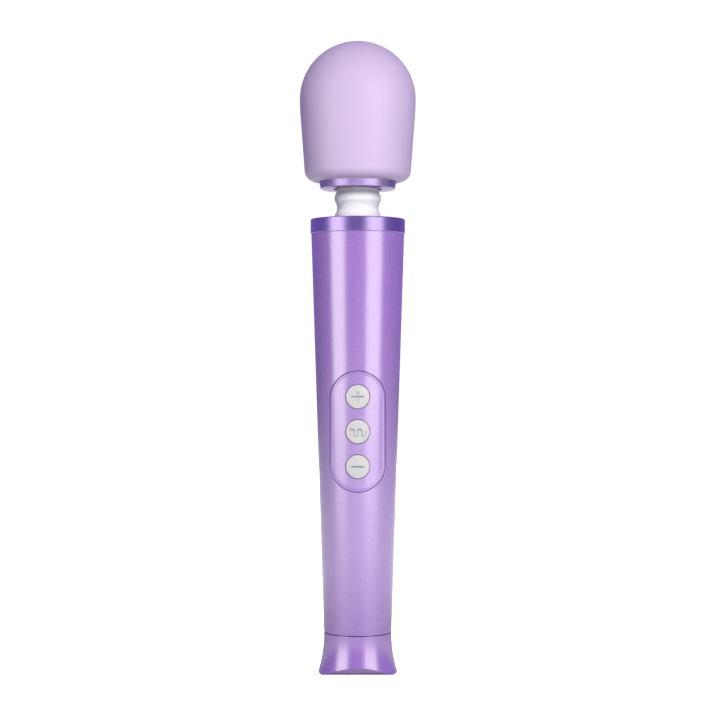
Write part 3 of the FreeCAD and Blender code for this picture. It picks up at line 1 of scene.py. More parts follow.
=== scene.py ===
import json
import logging
import math
from collections.abc import Callable, Sequence
from dataclasses import dataclass
from enum import Enum

import bmesh
import bpy
from mathutils import Matrix, Vector


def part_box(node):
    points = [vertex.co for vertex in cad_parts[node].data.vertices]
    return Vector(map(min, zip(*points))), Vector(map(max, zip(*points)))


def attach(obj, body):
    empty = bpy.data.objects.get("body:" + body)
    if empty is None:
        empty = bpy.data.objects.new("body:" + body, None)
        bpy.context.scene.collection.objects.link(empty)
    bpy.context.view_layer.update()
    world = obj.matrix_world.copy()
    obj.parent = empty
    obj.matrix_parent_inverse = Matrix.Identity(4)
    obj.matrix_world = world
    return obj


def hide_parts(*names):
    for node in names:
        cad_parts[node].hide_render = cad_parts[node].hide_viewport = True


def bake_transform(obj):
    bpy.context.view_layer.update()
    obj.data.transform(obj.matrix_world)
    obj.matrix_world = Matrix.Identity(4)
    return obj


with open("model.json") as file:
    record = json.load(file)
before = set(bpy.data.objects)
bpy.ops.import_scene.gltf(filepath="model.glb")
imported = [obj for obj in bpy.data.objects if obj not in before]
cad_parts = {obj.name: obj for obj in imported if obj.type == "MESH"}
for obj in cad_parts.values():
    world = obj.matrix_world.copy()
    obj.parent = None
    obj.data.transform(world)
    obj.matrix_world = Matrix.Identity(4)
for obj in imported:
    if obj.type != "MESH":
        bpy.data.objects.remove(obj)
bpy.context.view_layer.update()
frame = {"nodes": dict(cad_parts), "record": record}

MM = 0.001
ROUND = math.tau
QUARTER = ROUND / 4
NECK_HOLE = 9.9  # radius of the hole that the neck goes through, in the collar and in the head's ring
Form = Callable[[Vector], Vector]

log = logging.getLogger("wand")


class Cut(Enum):
    """What a cutting tool leaves of a piece."""

    TAKE_AWAY = "DIFFERENCE"
    KEEP_INSIDE = "INTERSECT"


class Turn(Enum):
    """Which way an arc of an outline runs, seen with the radius to the right and the height up."""

    LEFT = 1
    RIGHT = -1


# ---------------------------------------------------------------- finishes


def linear(shade: str) -> tuple[float, float, float, float]:
    """Turns an sRGB hex colour to linear light.

    Args:
        shade: six hex digits.

    Returns:
        Red, green, blue and an alpha of 1.
    """
    channels = (int(shade[i : i + 2], 16) / 255 for i in (0, 2, 4))
    return (*(c / 12.92 if c <= 0.04045 else ((c + 0.055) / 1.055) ** 2.4 for c in channels), 1.0)


def add(
    tree: bpy.types.NodeTree, kind: str, sockets: dict[str | int, object] | None = None, **settings: object
) -> bpy.types.Node:
    """Adds a node, sets its properties, and fills its sockets with values or links.

    Args:
        tree: the material's or the world's node tree.
        kind: the node's type.
        sockets: what goes into each input, by its name or number.
        settings: the node's own properties.

    Returns:
        The new node.
    """
    made = tree.nodes.new(kind)
    for name, value in settings.items():
        setattr(made, name, value)
    for name, value in (sockets or {}).items():
        if isinstance(value, bpy.types.NodeSocket):
            tree.links.new(value, made.inputs[name])
        else:
            made.inputs[name].default_value = value
    return made


@dataclass(frozen=True)
class Finish:
    """A surface with an even grain: colour and roughness drift a little, and the grain stands in relief.

    grain_mm is the size of the grain, stretch draws it out along X, Y and Z, and relief_mm is its height.
    """

    name: str
    color: str
    tint: str
    roughness: float
    drift: float = 0.06
    grain_mm: float = 0.6
    relief_mm: float = 0.004
    detail: float = 3.0
    stretch: tuple[float, float, float] = (1.0, 1.0, 1.0)
    metallic: float = 0.0
    ior: float = 1.5
    coat: float = 0.0
    coat_roughness: float = 0.1
    sheen: float = 0.0
    glow: float = 0.0
    glow_mm: float = 1.5

    def place(self, tree: bpy.types.NodeTree) -> bpy.types.NodeSocket:
        """Gives the coordinates that the grain follows, in millimetres.

        Args:
            tree: the material's node tree.

        Returns:
            A vector socket.
        """
        spot = add(tree, "ShaderNodeTexCoord")
        scale = tuple(1 / (MM * self.grain_mm * draw) for draw in self.stretch)
        return add(tree, "ShaderNodeMapping", {"Vector": spot.outputs["Object"], "Scale": scale}).outputs[0]

    def dress(self, tree: bpy.types.NodeTree, shader: bpy.types.Node, grain: bpy.types.NodeSocket) -> None:
        """Adds what one kind of finish has beyond its grain; a plain finish has nothing more."""

    def build(self) -> bpy.types.Material:
        """Makes the material.

        Returns:
            The material, named for the finish.
        """
        material = bpy.data.materials.new(self.name)
        material.use_nodes = True
        tree = material.node_tree
        tree.nodes.clear()
        grain = add(
            tree,
            "ShaderNodeTexNoise",
            {"Vector": self.place(tree), "Scale": 1.0, "Detail": self.detail, "Roughness": 0.6},
        ).outputs["Fac"]
        blend = add(
            tree,
            "ShaderNodeMix",
            {"Factor": grain, 6: linear(self.color), 7: linear(self.tint)},
            data_type="RGBA",
        )
        rough = add(
            tree,
            "ShaderNodeMapRange",
            {"Value": grain, "To Min": self.roughness - self.drift, "To Max": self.roughness + self.drift},
        )
        bump = add(tree, "ShaderNodeBump", {"Height": grain, "Distance": self.relief_mm * MM})
        shader = add(
            tree,
            "ShaderNodeBsdfPrincipled",
            {
                "Base Color": blend.outputs[2],
                "Roughness": rough.outputs[0],
                "Normal": bump.outputs[0],
                "Metallic": self.metallic,
                "IOR": self.ior,
                "Coat Weight": self.coat,
                "Coat Roughness": self.coat_roughness,
                "Sheen Weight": self.sheen,
                "Subsurface Weight": self.glow,
                "Subsurface Scale": self.glow_mm * MM,
            },
        )
        self.dress(tree, shader, grain)
        add(tree, "ShaderNodeOutputMaterial", {"Surface": shader.outputs[0]})
        return material


@dataclass(frozen=True)
class PearlLacquer(Finish):
    """Clear lacquer over a lilac coat with mica flakes: soft metallic bands of light and a fine sparkle.

    Its high index of refraction stands in for the mica layer. Flakes show where their random number is above
    flake_floor, and flake_share is the most that they lighten the coat.
    """

    drift: float = 0.012
    grain_mm: float = 3.0
    relief_mm: float = 0.0
    ior: float = 2.4
    flake_mm: float = 0.2
    flake_color: str = "f3ecfb"
    flake_floor: float = 0.45
    flake_share: float = 0.08

    def dress(self, tree: bpy.types.NodeTree, shader: bpy.types.Node, grain: bpy.types.NodeSocket) -> None:
        """Sprinkles flakes, drawn several times their real size so that they show.

        Args:
            tree: the material's node tree.
            shader: its main shader.
            grain: the coat's own slow drift.
        """
        spot = add(tree, "ShaderNodeTexCoord")
        flakes = add(
            tree,
            "ShaderNodeTexVoronoi",
            {"Vector": spot.outputs["Object"], "Scale": 1 / (self.flake_mm * MM)},
        )
        shine = add(
            tree,
            "ShaderNodeMapRange",
            {"Value": flakes.outputs["Color"], "From Min": self.flake_floor, "To Max": self.flake_share},
        )
        coat = shader.inputs["Base Color"].links[0].from_socket
        sprinkled = add(
            tree,
            "ShaderNodeMix",
            {"Factor": shine.outputs[0], 6: coat, 7: linear(self.flake_color)},
            data_type="RGBA",
        )
        tree.links.new(sprinkled.outputs[2], shader.inputs["Base Color"])


@dataclass(frozen=True)
class Metal(Finish):
    """Bare or plated metal, whose colour is its reflection."""

    metallic: float = 1.0


@dataclass(frozen=True)
class TurnedMetal(Metal):
    """Metal turned on a lathe or brushed while it turns: very fine lines run round the axis."""

    def place(self, tree: bpy.types.NodeTree) -> bpy.types.NodeSocket:
        """Gives the distance from the axis and the height, so that the lines run round it.

        Args:
            tree: the material's node tree.

        Returns:
            A vector socket.
        """
        spot = add(tree, "ShaderNodeTexCoord").outputs["Object"]
        flat = add(tree, "ShaderNodeVectorMath", {0: spot, 1: (1.0, 1.0, 0.0)}, operation="MULTIPLY")
        reach = add(tree, "ShaderNodeVectorMath", {0: flat.outputs[0]}, operation="LENGTH")
        height = add(tree, "ShaderNodeSeparateXYZ", {0: spot})
        lines = add(tree, "ShaderNodeCombineXYZ", {0: reach.outputs["Value"], 2: height.outputs[2]})
        scale = (1 / (MM * self.grain_mm),) * 3
        return add(tree, "ShaderNodeMapping", {"Vector": lines.outputs[0], "Scale": scale}).outputs[0]


@dataclass(frozen=True)
class Silicone(Finish):
    """Silicone rubber: a fine moulded grain, and light that goes a little way in."""

    drift: float = 0.03
    grain_mm: float = 0.5
    relief_mm: float = 0.003
    ior: float = 1.41
    glow: float = 0.1


SLOT_FINISHES: dict[str, Finish] = {
    # Mica under a clear coat, sprayed on moulded ABS: wide satin bands and tiny sparks.
    "lilac_lacquer": PearlLacquer("pearl_lacquer_on_abs", "8e62b0", "9165b3", 0.25),
    "lilac_panel": PearlLacquer("pearl_lacquer_on_panel", "9064b2", "9367b5", 0.26),
    # Anodised aluminium, brushed while it turns: a pale violet grey, with hairlines round the axis.
    "purple_anodised": TurnedMetal(
        "purple_anodised_aluminium", "8a7aa2", "9383ab", 0.3, drift=0.05, grain_mm=0.25, relief_mm=0.003
    ),
    # Frosted silicone rubber: a matt, slightly translucent skin.
    "lavender_silicone": Silicone(
        "frosted_lavender_silicone", "c4b1cf", "c8b5d3", 0.5, glow=0.05, glow_mm=1.0
    ),
    # Plain white silicone: satin, faintly translucent.
    "white_silicone": Silicone("satin_white_silicone", "efeeeb", "f3f2ef", 0.42, relief_mm=0.002),
    # White ABS moulded against an etched steel mould: satin with a fine even texture.
    "white_button": Finish(
        "white_satin_abs", "c6c6c2", "ccccc8", 0.36, drift=0.03, grain_mm=0.3, relief_mm=0.002, ior=1.53
    ),
    # Nitrile rubber: dull black.
    "seal_rubber": Finish("nitrile_rubber", "141416", "1c1c1e", 0.6, grain_mm=0.8, ior=1.52),
    # Glass-filled nylon and polycarbonate: moulded, lightly textured.
    "black_plastic": Finish("black_moulded_nylon", "17171a", "1f1f23", 0.45, grain_mm=0.4, ior=1.53),
    "grey_nylon": Finish(
        "grey_glass_filled_nylon", "5d6066", "696c72", 0.5, grain_mm=0.35, relief_mm=0.01, ior=1.53
    ),
    "core_plastic": Finish("natural_polycarbonate", "cbc8ce", "d5d2d7", 0.38, grain_mm=0.8, ior=1.58),
    # Fibreglass board under green solder mask: glossy, with the weave just showing.
    "board_green": Finish(
        "solder_mask_on_fibreglass", "0d4426", "14532f", 0.28, grain_mm=0.3, relief_mm=0.006,
        stretch=(1.0, 1.0, 3.0), ior=1.55, coat=0.4,
    ),
    "chip_black": Finish("moulded_epoxy_package", "18181a", "202022", 0.55, grain_mm=0.15, ior=1.55),
    # Shrunk PVC sleeve of the cell: thin glossy film.
    "cell_wrap": Finish("shrunk_pvc_sleeve", "2a5c8c", "316697", 0.25, grain_mm=5.0, ior=1.54, coat=0.3),
    # Open-cell foam: soft, dull, pitted.
    "foam": Finish(
        "open_cell_foam", "232325", "3a3a3d", 0.9, grain_mm=0.5, relief_mm=0.12, ior=1.4, sheen=0.2
    ),
    # Zinc-plated steel: pale, slightly blue, with cloudy plating.
    "zinc_steel": Metal("zinc_plated_steel", "a9adb3", "b9bcc0", 0.32, drift=0.08, grain_mm=0.7),
    # Drawn steel of the motor can and switch frames: faint lines along the draw.
    "motor_steel": Metal(
        "drawn_nickelled_steel", "a8a8ab", "b6b6b9", 0.3, grain_mm=0.25, relief_mm=0.003,
        stretch=(1.0, 1.0, 12.0),
    ),
    "spring_steel": Metal("oil_tempered_spring_steel", "6d6d72", "7d7d83", 0.34, grain_mm=0.3),
    "shaft_steel": TurnedMetal(
        "ground_shaft_steel", "b4b5b9", "bfc0c4", 0.2, drift=0.04, grain_mm=0.12, relief_mm=0.001
    ),
    # Stacked laminations: dark oxide with a line for each sheet.
    "lamination_steel": Metal(
        "laminated_silicon_steel", "4b4c52", "6b6c73", 0.5, drift=0.1, grain_mm=0.5, relief_mm=0.02,
        stretch=(40.0, 40.0, 1.0),
    ),
    "magnet_ferrite": Finish(
        "sintered_ferrite", "2b2b2e", "38383b", 0.7, grain_mm=0.3, relief_mm=0.01, ior=1.8
    ),
    # Enamelled winding wire: copper under clear enamel.
    "copper_wire": Metal(
        "enamelled_copper_wire", "b3602c", "c8743c", 0.28, grain_mm=0.25, relief_mm=0.04,
        stretch=(1.0, 1.0, 14.0), coat=0.5,
    ),
    "commutator_copper": TurnedMetal(
        "turned_copper", "c07a4c", "cb875a", 0.3, grain_mm=0.15, relief_mm=0.003
    ),
    "brush_carbon": Finish("pressed_carbon", "1b1b1c", "262627", 0.6, grain_mm=0.2, ior=1.8),
    "bush_bronze": Metal("sintered_bronze", "8d6a3c", "a27e4c", 0.5, grain_mm=0.2, relief_mm=0.012),
    "contact_brass": TurnedMetal("turned_brass", "c9a659", "d2b067", 0.22, grain_mm=0.15, relief_mm=0.002),
    "bearing_steel": TurnedMetal(
        "ground_bearing_steel", "b9babd", "c4c5c8", 0.16, drift=0.03, grain_mm=0.1, relief_mm=0.001
    ),
    "ball_steel": Metal("polished_bearing_balls", "c9cacd", "d2d3d6", 0.08, drift=0.02, relief_mm=0.0),
    "cage_brass": Metal("pressed_cage_brass", "b8924a", "c49d55", 0.34, grain_mm=0.3),
    "weight_steel": Metal(
        "sintered_tungsten_steel", "7f7f84", "8e8e93", 0.4, grain_mm=0.4, relief_mm=0.008
    ),
    # PVC insulation of the leads: soft gloss in three colours.
    "wire_red": Finish("red_pvc_insulation", "a01818", "ab2222", 0.4, grain_mm=1.0, ior=1.54),
    "wire_blue": Finish("blue_pvc_insulation", "1c2c86", "243692", 0.4, grain_mm=1.0, ior=1.54),
    "wire_yellow": Finish("yellow_pvc_insulation", "c79a24", "d0a530", 0.4, grain_mm=1.0, ior=1.54),
}

MATERIALS: dict[str, bpy.types.Material] = {name: finish.build() for name, finish in SLOT_FINISHES.items()}


# ---------------------------------------------------------------- modelling


class Outline:
    """Half of a piece's section, in millimetres, drawn point by point and then turned about an axis."""

    def __init__(self, radius: float, level: float) -> None:
        """Puts the pencil down at a radius and a level."""
        self.bm = bmesh.new()
        self.tip = self.bm.verts.new((radius, 0.0, level))
        self.start = self.tip

    def to(self, radius: float, level: float) -> "Outline":
        """Draws a straight line.

        Args:
            radius: distance of its end from the axis.
            level: height of its end.

        Returns:
            The outline, so that calls can follow on.
        """
        self.tip = bmesh.ops.extrude_vert_indiv(self.bm, verts=[self.tip])["verts"][0]
        self.tip.co = (radius, 0.0, level)
        return self

    def round_to(self, radius: float, level: float, bend: float, turn: Turn, steps: int = 8) -> "Outline":
        """Draws an arc.

        Args:
            radius: distance of its end from the axis.
            level: height of its end.
            bend: the arc's own radius.
            turn: which way it runs.
            steps: how many edges it gets.

        Returns:
            The outline, so that calls can follow on.
        """
        end = Vector((radius, 0.0, level))
        chord = end - self.tip.co
        half = chord.length / 2
        left = Vector((-chord.z, 0.0, chord.x)).normalized()
        centre = (self.tip.co + end) / 2 + left * turn.value * math.sqrt(max(bend * bend - half * half, 0.0))
        swept = bmesh.ops.spin(
            self.bm,
            geom=[self.tip],
            cent=centre,
            axis=(0.0, -turn.value, 0.0),
            angle=2 * math.asin(min(half / bend, 1.0)),
            steps=steps,
        )
        self.tip = next(part for part in swept["geom_last"] if isinstance(part, bmesh.types.BMVert))
        self.tip.co = end
        return self

    def turned(self, steps: int = 192, closed: bool = True) -> bmesh.types.BMesh:
        """Turns the outline once round the Z axis.

        Args:
            steps: how many facets go round.
            closed: draws the last line back to the start first.

        Returns:
            The turned shape, with its poles closed and its faces outwards.
        """
        if closed:
            self.bm.edges.new((self.tip, self.start))
        bmesh.ops.spin(
            self.bm,
            geom=self.bm.verts[:] + self.bm.edges[:],
            cent=(0.0, 0.0, 0.0),
            axis=(0.0, 0.0, 1.0),
            angle=ROUND,
            steps=steps,
            use_merge=True,
        )
        bmesh.ops.remove_doubles(self.bm, verts=self.bm.verts[:], dist=1e-4)
        bmesh.ops.recalc_face_normals(self.bm, faces=self.bm.faces[:])
        return self.bm


def verts_of(geometry: Sequence[object]) -> list[bmesh.types.BMVert]:
    """Picks the vertices out of what an operator made."""
    return [part for part in geometry if isinstance(part, bmesh.types.BMVert)]


def edges_of(geometry: Sequence[object]) -> list[bmesh.types.BMEdge]:
    """Picks the edges out of what an operator made."""
    return [part for part in geometry if isinstance(part, bmesh.types.BMEdge)]


def rotate(bm: bmesh.types.BMesh, angle: float, axis: str) -> None:
    """Turns a whole mesh about an axis through the origin."""
    bmesh.ops.rotate(bm, verts=bm.verts[:], cent=(0, 0, 0), matrix=Matrix.Rotation(angle, 3, axis))


def tower(loop: bmesh.types.BMesh, places: Sequence[Form]) -> bmesh.types.BMesh:
    """Raises a closed loop of edges into a solid.

    Args:
        loop: a mesh with one closed loop of edges.
        places: where each new loop's points go, from the loop before.

    Returns:
        The solid, closed at both ends.
    """
    ring = loop.edges[:]
    bmesh.ops.edgenet_fill(loop, edges=ring)
    for place in places:
        made = bmesh.ops.extrude_edge_only(loop, edges=ring)["geom"]
        for vert in verts_of(made):
            vert.co = place(vert.co)
        ring = edges_of(made)
    bmesh.ops.edgenet_fill(loop, edges=ring)
    bmesh.ops.recalc_face_normals(loop, faces=loop.faces[:])
    return loop


def new_object(name: str, shape: bmesh.types.BMesh) -> bpy.types.Object:
    """Puts a shape into the scene under a name.

    Args:
        name: the object's name.
        shape: what it holds, which is freed.

    Returns:
        The object.
    """
    mesh = bpy.data.meshes.new(name)
    shape.to_mesh(mesh)
    shape.free()
    made = bpy.data.objects.new(name, mesh)
    bpy.context.scene.collection.objects.link(made)
    return made


def cut(piece: bpy.types.Object, shape: bmesh.types.BMesh, how: Cut) -> None:
    """Cuts a piece with a solid shape.

    Args:
        piece: what is cut.
        shape: the cutting tool.
        how: what stays.
    """
    tool = new_object("tool", shape)
    change = piece.modifiers.new("cut", "BOOLEAN")
    change.object, change.operation, change.solver = tool, how.value, "EXACT"
    graph = bpy.context.evaluated_depsgraph_get()
    result = bpy.data.meshes.new_from_object(piece.evaluated_get(graph))
    piece.modifiers.clear()
    blank, piece.data = piece.data, result
    bpy.data.meshes.remove(blank)
    bpy.data.objects.remove(tool)


def shade_smooth(piece: bpy.types.Object, crease: float = 28.0) -> None:
    """Shades a piece smooth between its creases, with long faces kept true.

    Args:
        piece: the piece.
        crease: edges that turn by more than this many degrees stay sharp.
    """
    piece.data.shade_smooth()
    piece.data.set_sharp_from_angle(angle=math.radians(crease))
    weigh = piece.modifiers.new("weighted_normals", "WEIGHTED_NORMAL")
    weigh.keep_sharp, weigh.weight = True, 60


def shade_by_forms(piece: bpy.types.Object, forms: Sequence[Form], match: float = 0.985) -> None:
    """Gives each corner the slope of the true form that its face lies on.

    Args:
        piece: the piece.
        forms: each gives a form's outward direction at a point.
        match: how closely a face has to follow a form.
    """
    mesh = piece.data
    mesh.shade_smooth()
    slopes: list[Vector] = []
    for face in mesh.polygons:
        for corner in face.loop_indices:
            spot = mesh.vertices[mesh.loops[corner].vertex_index].co
            best = max((form(spot) for form in forms), key=face.normal.dot)
            slopes.append(best if face.normal.dot(best) > match else face.normal.copy())
    mesh.normals_split_custom_set([tuple(slope) for slope in slopes])


def settle(piece: bpy.types.Object, body: str, node: str, slot: str) -> bpy.types.Object:
    """Turns a piece from millimetres to metres, gives it its body and its finish, and hides the plain part
    that it replaces.

    Args:
        piece: the finished piece.
        body: the body that it rides on.
        node: the plain part that it replaces.
        slot: the record's slot for its finish.

    Returns:
        The piece.
    """
    scale_down(piece)
    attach(piece, body)
    label(piece, node, slot)
    return piece


def scale_down(piece: bpy.types.Object) -> None:
    """Turns a piece's mesh from millimetres to metres."""
    piece.data.transform(Matrix.Scale(MM, 4))


def label(piece: bpy.types.Object, node: str, slot: str) -> None:
    """Dresses a piece, and hides the plain part that it replaces.

    Args:
        piece: the piece.
        node: the plain part that it replaces.
        slot: the record's slot for its finish.
    """
    piece.data.materials.clear()
    piece.data.materials.append(MATERIALS[slot])
    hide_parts(node)
    log.info("%s: %d faces, %s", piece.name, len(piece.data.polygons), MATERIALS[slot].name)


def low_mm(node: str) -> Vector:
    """The lowest corner of a part, in millimetres."""
    return Vector(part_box(node)[0]) / MM


def high_mm(node: str) -> Vector:
    """The highest corner of a part, in millimetres."""
    return Vector(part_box(node)[1]) / MM


# ---------------------------------------------------------------- forms


@dataclass(frozen=True)
class Taper:
    """The cone that the handle's outside follows."""

    foot: float
    foot_radius: float
    top: float
    top_radius: float

    @property
    def slope(self) -> float:
        """How much the radius grows with height."""
        return (self.top_radius - self.foot_radius) / (self.top - self.foot)

    def radius(self, level: float) -> float:
        """The outside radius at a level."""
        return self.foot_radius + self.slope * (level - self.foot)

    def front(self, spot: Vector, rise: float) -> Vector:
        """The point in front of a spot that stands proud of the cone by a rise."""
        reach = self.radius(spot.z) + rise
        return Vector((spot.x, -math.sqrt(max(reach * reach - spot.x * spot.x, 0.0)), spot.z))

    def out(self, spot: Vector) -> Vector:
        """The cone's outward direction at a spot."""
        flat = Vector((spot.x, spot.y, 0.0)).normalized()
        return Vector((flat.x, flat.y, -self.slope)).normalized()

    def into(self, spot: Vector) -> Vector:
        """The cone's inward direction at a spot."""
        return -self.out(spot)


@dataclass(frozen=True)
class Stadium:
    """The upright shape with round ends of the control panel and its opening."""

    half_width: float
    half_length: float
    middle: float

    @property
    def straight(self) -> float:
        """Half the length of the straight sides."""
        return self.half_length - self.half_width

    def grown(self, gap: float) -> "Stadium":
        """The shape with its edge moved outwards by a gap."""
        return Stadium(self.half_width + gap, self.half_length + gap, self.middle)

    def away(self, spot: Vector) -> Vector:
        """The direction straight out of the shape at a spot."""
        level = min(max(spot.z, self.middle - self.straight), self.middle + self.straight)
        return Vector((spot.x, 0.0, spot.z - level)).normalized()

    def loop(self, depth: float) -> bmesh.types.BMesh:
        """Draws the shape's edge at a distance in front of the axis.

        Args:
            depth: that distance.

        Returns:
            A mesh with one closed loop of edges.
        """
        bm = bmesh.new()
        segments = 96
        bmesh.ops.create_circle(bm, radius=self.half_width, segments=segments)
        rotate(bm, ROUND / segments / 2, "Z")
        rotate(bm, QUARTER, "X")
        for vert in bm.verts:
            vert.co.z += math.copysign(self.straight, vert.co.z) + self.middle
            vert.co.y = -depth
        sides = [edge for edge in bm.edges if edge.calc_length() > self.straight]
        bmesh.ops.subdivide_edges(bm, edges=sides, cuts=15)
        return bm


def push(shape: Stadium, cone: Taper, grow: float, rise: float) -> Form:
    """Moves a loop of the shape outwards and onto the cone.

    Args:
        shape: the stadium.
        cone: the handle's taper.
        grow: how far out of the shape.
        rise: how far proud of the cone.

    Returns:
        Where a point of the loop goes.
    """
    return lambda spot: cone.front(spot + shape.away(spot) * grow, rise)


def at_depth(depth: float) -> Form:
    """Puts a point at a distance in front of the axis, and leaves its place otherwise."""
    return lambda spot: Vector((spot.x, -depth, spot.z))


# ---------------------------------------------------------------- handle


@dataclass
class Handle:
    """The lacquered tube with the panel's opening, the flared foot, the collar and the control panel."""

    waist_radius: float = 13.55
    shoulder_radius: float = 18.7
    tube_wall: float = 1.6
    rim_wall: float = 0.8
    edge: float = 0.12
    opening_gap: float = 0.12
    rim_gap: float = 0.05
    panel_half_width: float = 10.95
    panel_flange: float = 1.2
    panel_rise: float = 0.35
    panel_side: float = 0.02
    panel_bevel: float = 0.3
    band_width: float = 1.15
    band_step: float = 0.18
    band_slope: float = 0.4
    panel_back: float = 1.65
    button_radius: float = 4.7
    button_gap: float = 0.15
    outside: float = 26.0
    inside: float = 6.0

    def __post_init__(self) -> None:
        """Takes the levels from the plain parts."""
        self.foot = low_mm("handle_tube").z
        self.top = low_mm("collar").z
        self.cone = Taper(self.foot, self.waist_radius, self.top, self.shoulder_radius)
        low, high = low_mm("control_panel"), high_mm("control_panel")
        half_length = (high.z - low.z) / 2 - self.panel_flange
        self.panel = Stadium(self.panel_half_width, half_length, (high.z + low.z) / 2)

    def punch(self, shape: Stadium, *steps: tuple[float, float]) -> bmesh.types.BMesh:
        """Makes a tool with a shape's edge, from inside the tube to well outside it.

        Args:
            shape: the stadium that it follows.
            steps: how far out of the loop before, and how far proud of the tube, each loop of its side lies.

        Returns:
            The tool.
        """
        places = [push(shape, self.cone, grow, rise) for grow, rise in steps]
        return tower(shape.loop(self.inside), (*places, at_depth(self.outside)))

    def tube(self) -> bpy.types.Object:
        """Makes the tapered tube.

        Returns:
            The tube.
        """
        wall = self.shoulder_radius - self.tube_wall
        rim = wall + self.rim_wall
        rim_top = high_mm("handle_tube").z
        blank = (
            Outline(self.waist_radius - self.tube_wall, self.foot)
            .to(self.waist_radius - self.edge, self.foot)
            .round_to(self.cone.radius(self.foot + self.edge), self.foot + self.edge, self.edge, Turn.LEFT, 3)
            .to(self.shoulder_radius, self.top)
            .to(rim, self.top)
            .to(rim, rim_top)
            .to(wall, rim_top)
            .to(wall, self.top)
            .turned(240)
        )
        piece = new_object("handle_tube_shell", blank)
        opening = self.panel.grown(self.opening_gap)
        cut(piece, self.punch(opening, (0.0, -self.edge), (self.edge, 0.0), (0.0, 1.0)), Cut.TAKE_AWAY)
        sides: Form = lambda spot: -opening.away(spot)
        shade_by_forms(piece, (self.cone.out, self.cone.into, sides))
        return settle(piece, "handle", "handle_tube", "lilac_lacquer")

    @property
    def field_rise(self) -> float:
        """How far the panel's field stands proud of the tube, inside its raised band."""
        return self.panel_rise - self.band_step

    def layer(self, low: float, high: float) -> bmesh.types.BMesh:
        """Makes a layer that follows the tube's taper.

        Args:
            low: its inside, proud of the tube.
            high: its outside, proud of the tube.

        Returns:
            The layer, all the way round.
        """
        foot, top = self.cone.radius(self.foot), self.cone.radius(self.top)
        line = Outline(foot + low, self.foot).to(foot + high, self.foot)
        return line.to(top + high, self.top).to(top + low, self.top).turned(240)

    def recess(self, field: Stadium) -> bmesh.types.BMesh:
        """Makes the tool that sinks the panel's field below its band.

        Args:
            field: the shape inside the band.

        Returns:
            The tool.
        """
        blank = new_object("recess", self.layer(self.field_rise, self.panel_rise + 1.0))
        slope = ((0.0, self.field_rise), (self.band_slope, self.panel_rise), (0.0, self.panel_rise + 1.5))
        cut(blank, self.punch(field, *slope), Cut.KEEP_INSIDE)
        tool = bmesh.new()
        tool.from_mesh(blank.data)
        bpy.data.objects.remove(blank)
        return tool

    def control_panel(self) -> bpy.types.Object:
        """Makes the raised panel with its raised band, its field and three button holes.

        Returns:
            The panel.
        """
        piece = new_object("control_panel_plate", self.layer(-self.panel_back, self.panel_rise))
        clear = (0.0, self.panel_rise + 1.0)
        side = ((0.0, self.panel_side), (-self.panel_bevel, self.panel_rise), clear)
        cut(piece, self.punch(self.panel, *side), Cut.KEEP_INSIDE)
        field = self.panel.grown(-self.band_width)
        cut(piece, self.recess(field), Cut.TAKE_AWAY)
        lip = ((0.0, self.field_rise - self.edge), (self.edge, self.field_rise), clear)
        radials: list[Form] = []
        for name in Buttons.names:
            middle = (low_mm(f"{name}_button").z + high_mm(f"{name}_button").z) / 2
            hole = Stadium(self.button_radius + self.button_gap, self.button_radius + self.button_gap, middle)
            cut(piece, self.punch(hole, *lip), Cut.TAKE_AWAY)
            radials.append(lambda spot, hole=hole: -hole.away(spot))
        dip = self.band_step / self.band_slope
        inward: Form = lambda spot: (self.cone.out(spot) - field.away(spot) * dip).normalized()
        pitch = (self.panel_rise - self.panel_side) / self.panel_bevel
        bevel: Form = lambda spot: (self.cone.out(spot) + self.panel.away(spot) * pitch).normalized()
        faces = (self.cone.out, self.cone.into, self.panel.away, inward, bevel, *radials)
        shade_by_forms(piece, faces, 0.992)
        return settle(piece, "handle", "control_panel", "lilac_panel")

    def collar(self) -> bpy.types.Object:
        """Makes the anodised collar with its broken edges.

        Returns:
            The collar.
        """
        low, high = low_mm("collar").z, high_mm("collar").z
        outside = high_mm("collar").x
        band = self.shoulder_radius - self.tube_wall + self.rim_wall + self.rim_gap
        plate, edge = 1.6, 0.3
        crown = edge * 1.5
        blank = (
            Outline(band, low)
            .to(outside - edge, low)
            .round_to(outside, low + edge, edge, Turn.LEFT, 4)
            .to(outside, high - crown)
            .round_to(outside - crown, high, crown, Turn.LEFT, 5)
            .to(NECK_HOLE + edge, high)
            .round_to(NECK_HOLE, high - edge, edge, Turn.LEFT, 4)
            .to(NECK_HOLE, high - plate)
            .to(band, high - plate)
            .turned(240)
        )
        piece = new_object("collar_ring", blank)
        shade_smooth(piece, 40.0)
        return settle(piece, "handle", "collar", "purple_anodised")

